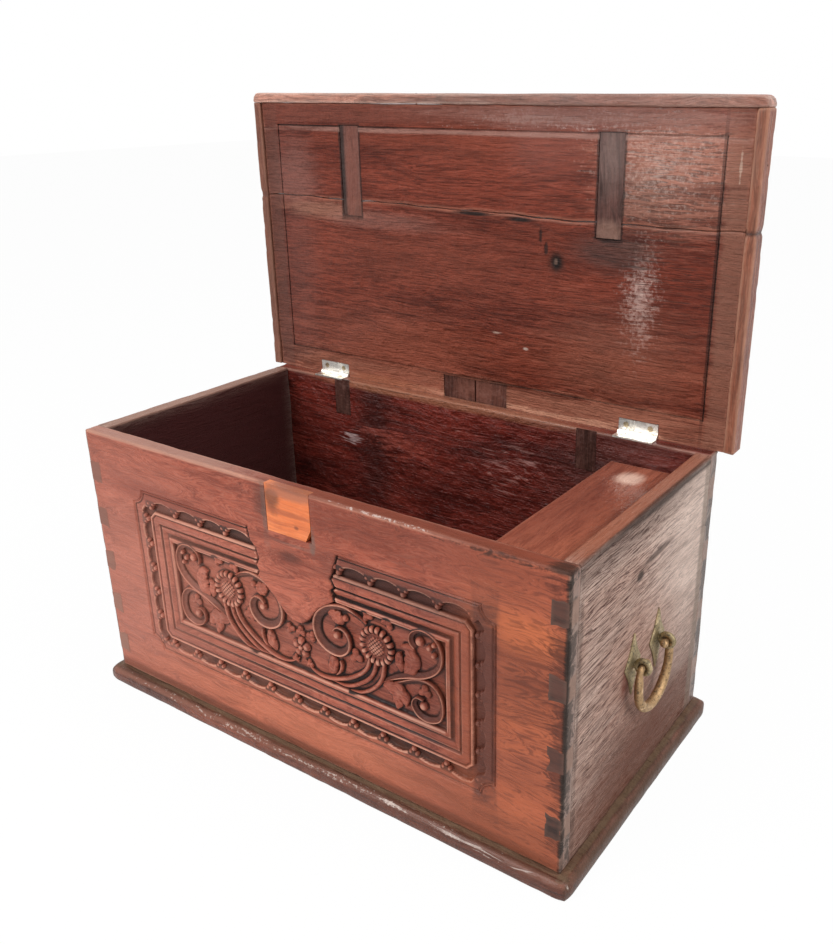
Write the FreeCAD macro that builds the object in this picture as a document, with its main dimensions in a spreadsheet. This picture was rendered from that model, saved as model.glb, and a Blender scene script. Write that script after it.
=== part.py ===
import FreeCAD, Part
import os
import re

import Sketcher

# A carved blanket chest, standing open. The frame has +X to the right, the front towards -Y,
# +Z up and the origin at the middle of the underside. All sizes are in mm.

# Driving sizes, one named value for each size that can be set by itself
DRIVING_SIZES = {
    # Walls and their dovetails
    "box_width": 600.0,
    "box_depth": 312.0,
    "board_height": 300.0,
    "board_thickness": 17.0,
    "right_pin_first": 48.0,
    "right_pin_last": 38.0,
    "left_pin_first": 34.0,
    "left_pin_last": 49.0,
    "pin_root_height": 26.0,
    "pin_tip_height": 22.0,
    # Bottom planks and their nails
    "base_thickness": 18.0,
    "base_front_overhang": 12.0,
    "base_side_overhang": 13.0,
    "base_rear_overhang": 9.0,
    "base_corner_radius": 8.0,
    "base_nose_radius": 6.0,
    "base_front_plank_depth": 196.0,
    "nail_radius": 1.4,
    "nail_length": 45.0,
    "nail_head_radius": 3.0,
    "nail_head_height": 1.2,
    # Carved field of the front board
    "carving_side_margin": 67.0,
    "carving_low_margin": 48.0,
    "carving_top_margin": 53.0,
    "carving_notch": 16.0,
    "border_width": 24.0,
    "border_depth": 3.0,
    "frame_width": 13.0,
    "step_width": 12.0,
    "step_depth": 2.0,
    "bead_width": 6.0,
    "field_depth": 6.0,
    "tongue_half_width": 55.0,
    "tongue_shoulder_half_width": 49.0,
    "tongue_shoulder_drop": 50.0,
    "tongue_waist_half_width": 18.0,
    "tongue_waist_drop": 79.0,
    "tongue_tip_drop": 97.0,
    # Patch where the lock was, and slips in the back wall
    "patch_half_width": 28.0,
    "patch_height": 57.0,
    "patch_depth": 8.0,
    "patch_cut_width": 11.0,
    "patch_cut_height": 21.0,
    "back_slip_width": 24.0,
    "back_slip_height": 46.0,
    "back_slip_depth": 3.0,
    "back_slip_sink": 0.3,
    "back_slip_left_inset": 111.0,
    "back_slip_right_inset": 141.0,
    # Lid boards, lips and slips
    "lid_thickness": 18.0,
    "lid_gap": 1.0,
    "lid_stand_gap": 0.1,
    "lid_side_overhang": 6.5,
    "lid_front_overhang": 16.0,
    "lid_front_board_depth": 109.0,
    "lid_line_inset": 24.0,
    "lid_line_rear_inset": 28.0,
    "lid_line_width": 1.6,
    "lid_line_depth": 0.8,
    "lip_thickness": 11.0,
    "lip_drop": 3.0,
    "lip_corner_radius": 6.0,
    "lip_edge_radius": 3.0,
    "dowel_radius": 4.0,
    "dowel_length": 44.0,
    "dowel_end_inset": 80.0,
    "brad_radius": 0.9,
    "brad_length": 24.0,
    "strap_slip_width": 27.0,
    "strap_slip_lap": 16.0,
    "strap_slip_depth": 3.0,
    "strap_slip_sink": 0.6,
    "strap_slip_left_inset": 130.0,
    "strap_slip_right_inset": 134.0,
    "lock_slip_left_width": 43.0,
    "lock_slip_right_width": 42.0,
    "lock_slip_height": 26.0,
    "lock_slip_depth": 5.0,
    "lock_slip_sink": 0.8,
    "lock_slip_divide": 4.0,
    "lock_slip_spacer": 2.0,
    # Hinges and their screws
    "hinge_inset": 88.0,
    "hinge_length": 45.0,
    "hinge_axis_inset": 2.0,
    "hinge_leaf_width": 15.0,
    "hinge_leaf_thickness": 1.6,
    "hinge_leaf_gap": 0.2,
    "hinge_barrel_radius": 3.0,
    "hinge_pin_radius": 1.25,
    "hinge_running_clearance": 0.05,
    "hinge_knuckle_gap": 0.2,
    "hinge_clearance": 0.4,
    "hinge_screw_spacing": 28.0,
    "hinge_screw_inset": 9.0,
    "screw_head_radius": 3.2,
    "screw_shank_radius": 1.6,
    "screw_length": 12.0,
    # Handles
    "handle_height": 148.0,
    "handle_spacing": 55.0,
    "handle_stand_off": 11.5,
    "plate_upper_length": 33.0,
    "plate_lower_length": 34.5,
    "plate_half_width": 17.0,
    "plate_thickness": 2.0,
    "eye_wire_radius": 2.9,
    "eye_shank_radius": 2.5,
    "eye_neck_radius": 3.0,
    "eye_hole_clearance": 0.1,
    "washer_radius": 7.0,
    "washer_thickness": 1.5,
    "peen_radius": 4.0,
    "peen_height": 1.5,
    "bail_pin_radius": 3.2,
    "bail_bar_radius": 4.2,
    "bail_drop": 55.0,
    "bail_running_clearance": 0.05,
    "bail_side_clearance": 0.4,
    # Till
    "till_lid_drop": 28.0,
    "till_lid_thickness": 9.0,
    "till_width": 90.0,
    "till_side_thickness": 8.0,
    "till_lid_overhang": 3.0,
    "till_floor_height": 172.0,
    "till_bottom_thickness": 8.0,
    "till_housing_depth": 5.0,
    "till_pin_radius": 4.0,
    "till_pin_length": 10.0,
    "till_pin_inset": 12.0,
    "till_lid_end_gap": 1.3,
    "till_lid_front_gap": 0.6,
    "till_running_clearance": 0.05,
    "till_seat_gap": 0.2,
}

# Sizes that follow from the driving ones
DERIVED_SIZES = {
    "half_width": "box_width / 2",
    "half_depth": "box_depth / 2",
    "inner_half_width": "half_width - board_thickness",
    "inner_half_depth": "half_depth - board_thickness",
    "rim": "base_thickness + board_height",
    "axis_y": "half_depth - hinge_axis_inset",
    "axis_z": "rim + lid_gap / 2",
    "lid_face": "axis_y + lid_gap / 2",
    "lid_back": "lid_face + lid_thickness",
    "lid_low": "rim + lid_stand_gap",
    "lid_half_width": "half_width + lid_side_overhang",
    "lid_board_depth": "box_depth - hinge_axis_inset + lid_gap / 2 - lid_stand_gap + lid_front_overhang",
    "lid_high": "lid_low + lid_board_depth",
    "lid_joint": "lid_high - lid_front_board_depth",
    "lip_half_width": "lid_half_width + lip_thickness",
    "dowel_x": "half_width - dowel_end_inset",
    "lip_high": "lid_high + lip_thickness",
    "lower_leaf_top": "axis_z - hinge_leaf_gap / 2",
    "lower_leaf_bed": "lower_leaf_top - hinge_leaf_thickness",
    "upper_leaf_face": "axis_y + hinge_leaf_gap / 2",
    "upper_leaf_bed": "upper_leaf_face + hinge_leaf_thickness",
    "handle_z": "base_thickness + handle_height",
    "eye_y": "handle_spacing / 2",
    "eye_x": "half_width + handle_stand_off",
    "eye_ring_radius": "bail_pin_radius + bail_running_clearance + eye_wire_radius",
    "plate_face": "half_width + plate_thickness",
    "washer_face": "inner_half_width - washer_thickness",
    "peen_face": "washer_face - peen_height",
    "leg_y": "eye_y + eye_wire_radius + bail_side_clearance + bail_bar_radius",
    "knob_y": "eye_y - eye_wire_radius - bail_side_clearance - bail_bar_radius",
    "till_lid_top": "rim - till_lid_drop",
    "till_lid_under": "till_lid_top - till_lid_thickness",
    "till_floor": "base_thickness + till_floor_height",
    "till_left": "inner_half_width - till_width",
    "till_pivot_x": "inner_half_width - till_pin_inset",
    "till_pivot_z": "till_lid_top - till_lid_thickness / 2",
    "carving_half_width": "half_width - carving_side_margin",
    "carving_low": "base_thickness + carving_low_margin",
    "carving_high": "rim - carving_top_margin",
    "face": "-half_depth",
}

DOCUMENT = FreeCAD.newDocument("BlanketChest")
SIZES = DOCUMENT.addObject("Spreadsheet::Sheet", "Sizes")
for row, (alias, size) in enumerate(DRIVING_SIZES.items(), start=1):
    SIZES.set("A%d" % row, str(size))
    SIZES.setAlias("A%d" % row, alias)
DOCUMENT.recompute()

PIECES = []


# Expressions and placing


def bound(text):
    """Return the text with every named size written as a cell of the sheet."""

    def swap(match):
        word = match.group(0)
        if word in DRIVING_SIZES:
            return "Sizes." + word
        return "(" + bound(DERIVED_SIZES[word]) + ")"

    return re.sub(r"[a-z_]+", swap, text)


def number(text):
    """Return the present value of an expression."""
    return float(SIZES.evalExpression(bound(text)))


def set_sizes(item, **sizes):
    """Bind properties of an object to expressions."""
    for name, text in sizes.items():
        item.setExpression(name, bound(text))


def set_place(item, x, y, z, rotation=FreeCAD.Rotation()):
    """Turn an object and bind where it stands."""
    item.Placement = FreeCAD.Placement(FreeCAD.Vector(number(x), number(y), number(z)), rotation)
    for axis, text in zip("xyz", (x, y, z)):
        item.setExpression("Placement.Base." + axis, bound(text))


# Turns that lay an upright shape along a direction
ALONG = {
    "x": FreeCAD.Rotation(FreeCAD.Vector(0, 1, 0), 90),
    "-x": FreeCAD.Rotation(FreeCAD.Vector(0, 1, 0), -90),
    "y": FreeCAD.Rotation(FreeCAD.Vector(1, 0, 0), -90),
    "-y": FreeCAD.Rotation(FreeCAD.Vector(1, 0, 0), 90),
    "z": FreeCAD.Rotation(),
    "-z": FreeCAD.Rotation(FreeCAD.Vector(1, 0, 0), 180),
}


# Shapes


def block(name, x, y, z):
    """Make a box from a pair of expressions, low and high, along each axis."""
    item = DOCUMENT.addObject("Part::Box", name)
    lengths = ["(%s) - (%s)" % (high, low) for low, high in (x, y, z)]
    set_sizes(item, Length=lengths[0], Width=lengths[1], Height=lengths[2])
    set_place(item, x[0], y[0], z[0])
    return item


def rod(name, direction, radius, length, x, y, z):
    """Make a round rod that starts at a point and runs along a direction."""
    item = DOCUMENT.addObject("Part::Cylinder", name)
    set_sizes(item, Radius=radius, Height=length)
    set_place(item, x, y, z, ALONG[direction])
    return item


def cone(name, direction, first, last, length, x, y, z):
    """Make a cone whose radius goes from first to last along a direction."""
    item = DOCUMENT.addObject("Part::Cone", name)
    set_sizes(item, Radius1=first, Radius2=last, Height=length)
    set_place(item, x, y, z, ALONG[direction])
    return item


def ball(name, radius, x, y, z):
    """Make a ball about a point."""
    item = DOCUMENT.addObject("Part::Sphere", name)
    set_sizes(item, Radius=radius)
    set_place(item, x, y, z)
    return item


def ring(name, radius, wire, x, y, z, rotation, sweep=360):
    """Make a ring, or part of one, of round wire."""
    item = DOCUMENT.addObject("Part::Torus", name)
    set_sizes(item, Radius1=radius, Radius2=wire)
    item.Angle3 = sweep
    set_place(item, x, y, z, rotation)
    return item


def fuse(name, items):
    """Join shapes into one."""
    item = DOCUMENT.addObject("Part::MultiFuse", name)
    item.Shapes = items
    item.Refine = True
    return item


def cut(name, base, tools):
    """Take tools away from a shape."""
    item = DOCUMENT.addObject("Part::Cut", name)
    item.Base = base
    item.Tool = tools[0] if len(tools) == 1 else fuse(name + "_tools", tools)
    item.Refine = True
    return item


def common(name, first, second):
    """Keep what two shapes share."""
    item = DOCUMENT.addObject("Part::Common", name)
    item.Base = first
    item.Tool = second
    return item


def group(name, items):
    """Put identical solids into one piece."""
    item = DOCUMENT.addObject("Part::Compound", name)
    item.Links = items
    return item


def piece(item, label):
    """Register a finished piece under the name of its file."""
    item.Label = label
    PIECES.append(item)
    return item


def mirrored(side, low, high):
    """Return a pair of expressions across X, for the right or the left side."""
    if side == "right":
        return (low, high)
    return ("-(%s)" % high, "-(%s)" % low)


def signed(side, text):
    """Return an expression across X, for the right or the left side."""
    return text if side == "right" else "-(%s)" % text


# Bodies drawn as an outline and padded


def outline(body, name, plane, points, offset):
    """Draw a closed outline whose corners are all held by expressions."""
    sketch = body.newObject("Sketcher::SketchObject", name)
    support = next(entry for entry in body.Origin.OriginFeatures if entry.Role == plane)
    sketch.AttachmentSupport = [(support, "")]
    sketch.MapMode = "FlatFace"
    sketch.setExpression("AttachmentOffset.Base.z", bound(offset))
    places = [FreeCAD.Vector(number(across), number(up), 0) for across, up in points]
    count = len(points)
    for index in range(count):
        sketch.addGeometry(Part.LineSegment(places[index], places[(index + 1) % count]), False)
    for index in range(count):
        sketch.addConstraint(Sketcher.Constraint("Coincident", index, 2, (index + 1) % count, 1))
    for index, pair in enumerate(points):
        hold(sketch, index, "DistanceX", -2, pair[0])
        hold(sketch, index, "DistanceY", -1, pair[1])
    return sketch


def hold(sketch, index, kind, axis, text):
    """Hold one corner of an outline at its distance from the origin."""
    size = number(text)
    if abs(size) < 1e-9:
        sketch.addConstraint(Sketcher.Constraint("PointOnObject", index, 1, axis))
        return
    if size > 0:
        entry = sketch.addConstraint(Sketcher.Constraint(kind, -1, 1, index, 1, size))
        sketch.setExpression("Constraints[%d]" % entry, bound(text))
    else:
        entry = sketch.addConstraint(Sketcher.Constraint(kind, index, 1, -1, 1, -size))
        sketch.setExpression("Constraints[%d]" % entry, bound("-(%s)" % text))


def padded(name, plane, points, offset, length):
    """Make a body by padding an outline away from its plane."""
    body = DOCUMENT.addObject("PartDesign::Body", name)
    sketch = outline(body, name + "_outline", plane, points, offset)
    pad = body.newObject("PartDesign::Pad", name + "_pad")
    pad.Profile = sketch
    set_sizes(pad, Length=length)
    DOCUMENT.recompute()
    return body


def round_edges(body, name, radius, wanted):
    """Round those edges of a body's last feature that a test picks out."""
    last = body.Tip
    names = ["Edge%d" % number for number, edge in enumerate(last.Shape.Edges, start=1) if wanted(edge)]
    fillet = body.newObject("PartDesign::Fillet", name)
    fillet.Base = (last, names)
    set_sizes(fillet, Radius=radius)
    DOCUMENT.recompute()


def rectangle(x, z):
    """Return the corners of a rectangle from two pairs of expressions."""
    return [(x[0], z[0]), (x[1], z[0]), (x[1], z[1]), (x[0], z[1])]


# Bottom planks


def make_base():
    """Make the two nosed planks and the nails that hold the walls on them."""
    across = ("-half_width - base_side_overhang", "half_width + base_side_overhang")
    along = ("-half_depth - base_front_overhang", "half_depth + base_rear_overhang")
    blank = padded("base_blank", "XY_Plane", rectangle(across, along), "0", "base_thickness")
    top = number("base_thickness")
    round_edges(blank, "base_corners", "base_corner_radius", lambda edge: edge.BoundBox.ZLength > top / 2)
    round_edges(blank, "base_nose", "base_nose_radius", lambda edge: edge.BoundBox.ZMin > top - 0.01)
    joint = "-half_depth - base_front_overhang + base_front_plank_depth"
    front = block("base_front_half", across, (along[0], joint), ("0", "base_thickness"))
    rear = block("base_rear_half", across, (joint, along[1]), ("0", "base_thickness"))
    nails = make_nails()
    front_plank = cut("bottom_front", common("base_front", blank, front), nails)
    rear_plank = cut("bottom_rear", common("base_rear", blank, rear), nails)
    piece(front_plank, "bottom_front_board")
    piece(rear_plank, "bottom_rear_board")
    piece(group("nail_group", nails), "bottom_nails")
    return nails


def make_nails():
    """Make the nails, driven up through the planks into the walls."""
    spots = []
    for share in ("-0.42", "-0.14", "0.14", "0.42"):
        spots.append(("%s * box_width" % share, "-half_depth + board_thickness / 2"))
        spots.append(("%s * box_width" % share, "half_depth - board_thickness / 2"))
    for share in ("-0.25", "0.25"):
        spots.append(("-half_width + board_thickness / 2", "%s * box_depth" % share))
        spots.append(("half_width - board_thickness / 2", "%s * box_depth" % share))
    nails = []
    for index, (x, y) in enumerate(spots):
        head = rod("nail_head_%d" % index, "z", "nail_head_radius", "nail_head_height", x, y, "0")
        shank = rod("nail_shank_%d" % index, "z", "nail_radius", "nail_length", x, y, "0")
        nails.append(fuse("nail_%d" % index, [head, shank]))
    return nails


# Walls


def make_pins():
    """Make the dovetail pins of all four corners, grouped by end and by wall."""
    pins = {}
    for side, count in (("right", 4), ("left", 5)):
        first = "base_thickness + %s_pin_first" % side
        pitch = "(board_height - %s_pin_first - %s_pin_last) / %d" % (side, side, count - 1)
        for wall, low in (("front", "-half_depth"), ("back", "inner_half_depth")):
            pins[side, wall] = []
            for index in range(count):
                name = "%s_%s_pin_%d" % (side, wall, index)
                middle = "%s + %d * %s" % (first, index, pitch)
                pins[side, wall].append(make_pin(name, side, low, middle))
    return pins


def make_pin(name, side, low, middle):
    """Make one pin, higher at its root than at the outer face of the end board."""
    item = DOCUMENT.addObject("Part::Wedge", name)
    item.Xmin = 0
    item.Ymin = 0
    item.X2min = 0
    set_sizes(item, Xmax="board_thickness", Ymax="board_thickness", X2max="board_thickness")
    set_sizes(item, Zmin="-pin_root_height / 2", Zmax="pin_root_height / 2")
    set_sizes(item, Z2min="-pin_tip_height / 2", Z2max="pin_tip_height / 2")
    upright = FreeCAD.Vector(0, 0, 1)
    if side == "right":
        set_place(item, "inner_half_width", low + " + board_thickness", middle, FreeCAD.Rotation(upright, -90))
    else:
        set_place(item, "-inner_half_width", low, middle, FreeCAD.Rotation(upright, 90))
    return item


def make_carving():
    """Make the steps cut into the front for the carved field, with the plain tongue left standing."""
    low, high, side = "carving_low", "carving_high", "carving_half_width"
    notch = "carving_notch"
    border_points = [
        ("-%s + %s" % (side, notch), low),
        ("%s - %s" % (side, notch), low),
        ("%s - %s" % (side, notch), "%s + %s" % (low, notch)),
        (side, "%s + %s" % (low, notch)),
        (side, "%s - %s" % (high, notch)),
        ("%s - %s" % (side, notch), "%s - %s" % (high, notch)),
        ("%s - %s" % (side, notch), high),
        ("-%s + %s" % (side, notch), high),
        ("-%s + %s" % (side, notch), "%s - %s" % (high, notch)),
        ("-%s" % side, "%s - %s" % (high, notch)),
        ("-%s" % side, "%s + %s" % (low, notch)),
        ("-%s + %s" % (side, notch), "%s + %s" % (low, notch)),
    ]
    border = padded("border_cut", "XZ_Plane", border_points, "half_depth - border_depth", "border_depth + 1")
    inset = "border_width"
    island = carved_block("border_island", inset, "border_depth + 1")
    inset += " + frame_width"
    step = carved_block("step_cut", inset, "step_depth")
    inset += " + step_width"
    bead = carved_block("bead_island", inset, "step_depth + 1")
    inset += " + bead_width"
    field = carved_block("field_cut", inset, "field_depth")
    tongue_points = [
        ("0", "carving_high - tongue_tip_drop"),
        ("tongue_waist_half_width", "carving_high - tongue_waist_drop"),
        ("tongue_shoulder_half_width", "carving_high - tongue_shoulder_drop"),
        ("tongue_half_width", "carving_high + 1"),
        ("-tongue_half_width", "carving_high + 1"),
        ("-tongue_shoulder_half_width", "carving_high - tongue_shoulder_drop"),
        ("-tongue_waist_half_width", "carving_high - tongue_waist_drop"),
    ]
    tongue = padded("tongue", "XZ_Plane", tongue_points, "half_depth - field_depth - 1", "field_depth + 3")
    band = cut("border_band", border, [island])
    cove = cut("cove_band", step, [bead])
    return cut("carving_cut", fuse("carving_steps", [band, cove, field]), [tongue])


def carved_block(name, inset, depth):
    """Make a block that reaches a depth into the front face, inset from the carving's outline."""
    across = ("-carving_half_width + " + inset, "carving_half_width - (%s)" % inset)
    upward = ("carving_low + " + inset, "carving_high - (%s)" % inset)
    return block(name, across, ("face - 1", "face + " + depth), upward)


def make_patch():
    """Make the wooden patch let into the front below the rim."""
    low = "rim - patch_height"
    points = [
        ("-patch_half_width", low),
        ("patch_half_width - patch_cut_width", low),
        ("patch_half_width", low + " + patch_cut_height"),
        ("patch_half_width", "rim"),
        ("-patch_half_width", "rim"),
    ]
    return piece(padded("patch", "XZ_Plane", points, "half_depth - patch_depth", "patch_depth"), "lock_patch")


def make_back_slips(hinge_beds):
    """Make the slips let into the back wall, trimmed under the hinges, and the beds they lie in."""
    beds = []
    upward = ("rim - back_slip_height", "rim")
    for side in ("left", "right"):
        middle = signed(side, "half_width - back_slip_%s_inset" % side)
        across = (middle + " - back_slip_width / 2", middle + " + back_slip_width / 2")
        depth = ("inner_half_depth + back_slip_sink", "inner_half_depth + back_slip_depth")
        blank = block("back_slip_blank_" + side, across, depth, upward)
        piece(cut("back_slip_" + side, blank, hinge_beds), "back_slip_" + side)
        bed = ("inner_half_depth - 1", "inner_half_depth + back_slip_depth")
        beds.append(block("back_slip_bed_" + side, across, bed, upward))
    return beds


def make_walls(nails, till_parts, hinge_beds, screws):
    """Make the four dovetailed walls, cut for all that is let into them."""
    pins = make_pins()
    across = ("-half_width", "half_width")
    upward = ("base_thickness", "rim")
    front = block("front_blank", across, ("-half_depth", "-inner_half_depth"), upward)
    back = block("back_blank", across, ("inner_half_depth", "half_depth"), upward)
    pivots = make_till_pivots()
    tools = pins["right", "front"] + pins["left", "front"] + nails + till_parts + pivots
    tools += [make_carving(), make_patch()]
    piece(cut("front", front, tools), "front_board")
    tools = pins["right", "back"] + pins["left", "back"] + nails + till_parts + pivots
    tools += make_back_slips(hinge_beds) + hinge_beds + screws
    piece(cut("back", back, tools), "back_board")
    for side in ("left", "right"):
        along = ("-inner_half_depth", "inner_half_depth")
        core = block(side + "_core", mirrored(side, "inner_half_width", "half_width"), along, upward)
        whole = fuse(side + "_end_blank", [core] + pins[side, "front"] + pins[side, "back"])
        piece(cut(side + "_end", whole, nails + shank_holes(side)), side + "_end_board")


# Till


def make_till():
    """Make the till's side, floor and pivoted lid."""
    housed = ("-inner_half_depth - till_housing_depth", "inner_half_depth + till_housing_depth")
    side_across = ("till_left", "till_left + till_side_thickness")
    side = block("till_wall", side_across, housed, ("till_floor", "till_lid_under - till_seat_gap"))
    floor_across = ("till_left", "inner_half_width")
    floor = block("till_base", floor_across, housed, ("till_floor - till_bottom_thickness", "till_floor"))
    across = ("till_left - till_lid_overhang", "inner_half_width - till_lid_end_gap")
    along = ("-inner_half_depth + till_lid_front_gap", "inner_half_depth - till_lid_front_gap")
    board = block("till_lid_blank", across, along, ("till_lid_under", "till_lid_top"))
    length = "2 * (inner_half_depth + till_pin_length)"
    start = "-inner_half_depth - till_pin_length"
    pin = rod("till_lid_pin", "y", "till_pin_radius", length, "till_pivot_x", start, "till_pivot_z")
    piece(side, "till_side")
    piece(floor, "till_bottom")
    piece(fuse("till_cover", [board, pin]), "till_lid")
    return [side, floor]


def make_till_pivots():
    """Make the holes that the pins of the till's lid turn in."""
    reach = "till_pin_length + till_lid_front_gap"
    radius = "till_pin_radius + till_running_clearance"
    place = ("till_pivot_x", "-inner_half_depth - (%s)" % reach, "till_pivot_z")
    return [rod("till_pivot_holes", "y", radius, "2 * (inner_half_depth + %s)" % reach, *place)]


# Hinges


def make_hinges():
    """Make both hinges and return the beds and screws that the wood is cut for."""
    beds = {"lower": [], "upper": []}
    screws = {"lower": [], "upper": []}
    for side in ("left", "right"):
        middle = signed(side, "half_width - hinge_inset")
        ends = (middle + " - hinge_length / 2", middle + " + hinge_length / 2")
        pin = rod("hinge_pin_" + side, "x", "hinge_pin_radius", "hinge_length", ends[0], "axis_y", "axis_z")
        piece(pin, "hinge_pin_" + side)
        knuckles = [make_knuckle(side, ends[0], index) for index in range(5)]
        rooms = [make_knuckle_room(side, ends[0], index) for index in range(5)]
        lower = block(
            "lower_plate_" + side,
            ends,
            ("axis_y - hinge_leaf_width", "axis_y"),
            ("lower_leaf_bed", "lower_leaf_top"),
        )
        upper = block(
            "upper_plate_" + side,
            ends,
            ("upper_leaf_face", "upper_leaf_bed"),
            ("axis_z", "axis_z + hinge_leaf_width"),
        )
        turning = rod(
            "pin_room_" + side,
            "x",
            "hinge_pin_radius + hinge_running_clearance",
            "hinge_length",
            ends[0],
            "axis_y",
            "axis_z",
        )
        low_screws, high_screws = make_hinge_screws(side, middle)
        fixed = fuse("lower_cut_" + side, [cut("lower_clear_" + side, lower, rooms[1::2])] + knuckles[0::2])
        swung = fuse("upper_cut_" + side, [cut("upper_clear_" + side, upper, rooms[0::2])] + knuckles[1::2])
        piece(cut("lower_leaf_" + side, fixed, [pin] + low_screws), "hinge_leaf_lower_" + side)
        piece(cut("upper_leaf_" + side, swung, [turning] + high_screws), "hinge_leaf_upper_" + side)
        screws["lower"] += low_screws
        screws["upper"] += high_screws
        lower_beds, upper_beds = make_hinge_beds(side, ends)
        beds["lower"] += lower_beds
        beds["upper"] += upper_beds
    piece(group("lower_screw_group", screws["lower"]), "hinge_screws_lower")
    piece(group("upper_screw_group", screws["upper"]), "hinge_screws_upper")
    return beds, screws


def make_knuckle(side, start, index):
    """Make one of the five rolled knuckles."""
    low = "%s + %d * hinge_length / 5 + hinge_knuckle_gap / 2" % (start, index)
    length = "hinge_length / 5 - hinge_knuckle_gap"
    name = "knuckle_%s_%d" % (side, index)
    return rod(name, "x", "hinge_barrel_radius", length, low, "axis_y", "axis_z")


def make_knuckle_room(side, start, index):
    """Make the room that one leaf leaves for a knuckle of the other."""
    low = "%s + %d * hinge_length / 5 - hinge_knuckle_gap / 2" % (start, index)
    length = "hinge_length / 5 + hinge_knuckle_gap"
    name = "knuckle_room_%s_%d" % (side, index)
    return rod(name, "x", "hinge_barrel_radius + hinge_clearance", length, low, "axis_y", "axis_z")


def make_hinge_screws(side, middle):
    """Make the two screws of each leaf, heads flush with the leaf."""
    low_screws = []
    high_screws = []
    rest = "screw_length - hinge_leaf_thickness"
    for index, sign in enumerate("-+"):
        x = "%s %s hinge_screw_spacing / 2" % (middle, sign)
        y = "axis_y - hinge_screw_inset"
        z = "axis_z + hinge_screw_inset"
        name = "%s_%d" % (side, index)
        sizes = ("screw_head_radius", "screw_shank_radius", "hinge_leaf_thickness")
        head = cone("lower_head_" + name, "-z", *sizes, x, y, "lower_leaf_top")
        shank = rod("lower_shank_" + name, "-z", "screw_shank_radius", rest, x, y, "lower_leaf_bed")
        low_screws.append(fuse("lower_screw_" + name, [head, shank]))
        head = cone("upper_head_" + name, "y", *sizes, x, "upper_leaf_face", z)
        shank = rod("upper_shank_" + name, "y", "screw_shank_radius", rest, x, "upper_leaf_bed", z)
        high_screws.append(fuse("upper_screw_" + name, [head, shank]))
    return low_screws, high_screws


def make_hinge_beds(side, ends):
    """Make the shallow beds that the leaves and the barrel lie in."""
    across = (ends[0] + " - hinge_clearance", ends[1] + " + hinge_clearance")
    radius = "hinge_barrel_radius + hinge_clearance"
    length = "hinge_length + 2 * hinge_clearance"
    barrel = rod("barrel_room_" + side, "x", radius, length, across[0], "axis_y", "axis_z")
    lower = block(
        "lower_bed_" + side,
        across,
        ("axis_y - hinge_leaf_width - hinge_clearance", "half_depth + 1"),
        ("lower_leaf_bed", "rim + 1"),
    )
    upper = block(
        "upper_bed_" + side,
        across,
        ("lid_face - 1", "upper_leaf_bed"),
        ("lid_low - 1", "axis_z + hinge_leaf_width + hinge_clearance"),
    )
    return [lower, barrel], [upper, barrel]


# Lid, drawn standing open


def make_lid(beds, screws):
    """Make the lid's two boards with their dowels, lips, brads and slips."""
    across = ("-lid_half_width", "lid_half_width")
    through = ("lid_face", "lid_back")
    rear = block("lid_rear_blank", across, through, ("lid_low", "lid_joint"))
    front = block("lid_front_blank", across, through, ("lid_joint", "lid_high"))
    dowels = []
    for index, place in enumerate(("-dowel_x", "0", "dowel_x")):
        low = "lid_joint - dowel_length / 2"
        dowel = ("z", "dowel_radius", "dowel_length", place, "(lid_face + lid_back) / 2", low)
        dowels.append(rod("dowel_%d" % index, *dowel))
    piece(group("dowel_group", dowels), "lid_dowels")
    brads = make_brads()
    slip_beds = make_strap_slips() + make_lock_slips()
    lines = make_scored_lines()
    piece(cut("lid_rear", rear, dowels + brads + slip_beds + lines + beds + screws), "lid_rear_board")
    piece(cut("lid_front", front, dowels + brads + slip_beds + lines), "lid_front_board")
    make_lips(brads)
    piece(group("brad_group", brads), "lid_brads")


def make_lips(brads):
    """Make the strips along three edges of the lid that drop past the walls."""
    depth = "lid_thickness + lip_drop"
    offset = "-lid_back"
    shapes = {
        "front": (("-lip_half_width", "lip_half_width"), ("lid_high", "lip_high")),
        "left": (("-lip_half_width", "-lid_half_width"), ("lid_low", "lid_high")),
        "right": (("lid_half_width", "lip_half_width"), ("lid_low", "lid_high")),
    }
    for name, (across, upward) in shapes.items():
        body = padded("lip_blank_" + name, "XZ_Plane", rectangle(across, upward), offset, depth)
        reach = number("lip_half_width") - 0.01
        top = number("lip_high") - 0.01
        thick = number(depth) - 0.01
        if name == "front":
            round_edges(
                body,
                "lip_corners",
                "lip_corner_radius",
                lambda edge: edge.BoundBox.YLength > thick and edge.BoundBox.ZMin > top,
            )
        round_edges(
            body,
            "lip_edges_" + name,
            "lip_edge_radius",
            lambda edge: edge.BoundBox.YLength < 0.01 and is_outer(edge.BoundBox, reach, top),
        )
        piece(cut("lip_" + name, body, brads), "lid_lip_" + name)


def is_outer(box, reach, top):
    """Tell whether an edge runs along the outside of the lid."""
    on_side = box.XMin > reach or box.XMax < -reach
    on_top = box.ZMin > top
    at_corner = box.XLength > 0.1 and box.ZLength > 0.1
    return on_side or on_top or at_corner


def make_brads():
    """Make the brads that hold the lips."""
    brads = []
    middle = "(lid_face + lid_back) / 2"
    for index, share in enumerate(("-0.4", "-0.13", "0.13", "0.4")):
        x = "%s * box_width" % share
        brads.append(rod("front_brad_%d" % index, "-z", "brad_radius", "brad_length", x, middle, "lip_high"))
    for side, direction in (("left", "x"), ("right", "-x")):
        for index, share in enumerate(("0.15", "0.5", "0.85")):
            z = "lid_low + %s * lid_board_depth" % share
            name = "%s_brad_%d" % (side, index)
            start = signed(side, "lip_half_width")
            brads.append(rod(name, direction, "brad_radius", "brad_length", start, middle, z))
    return brads


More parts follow.
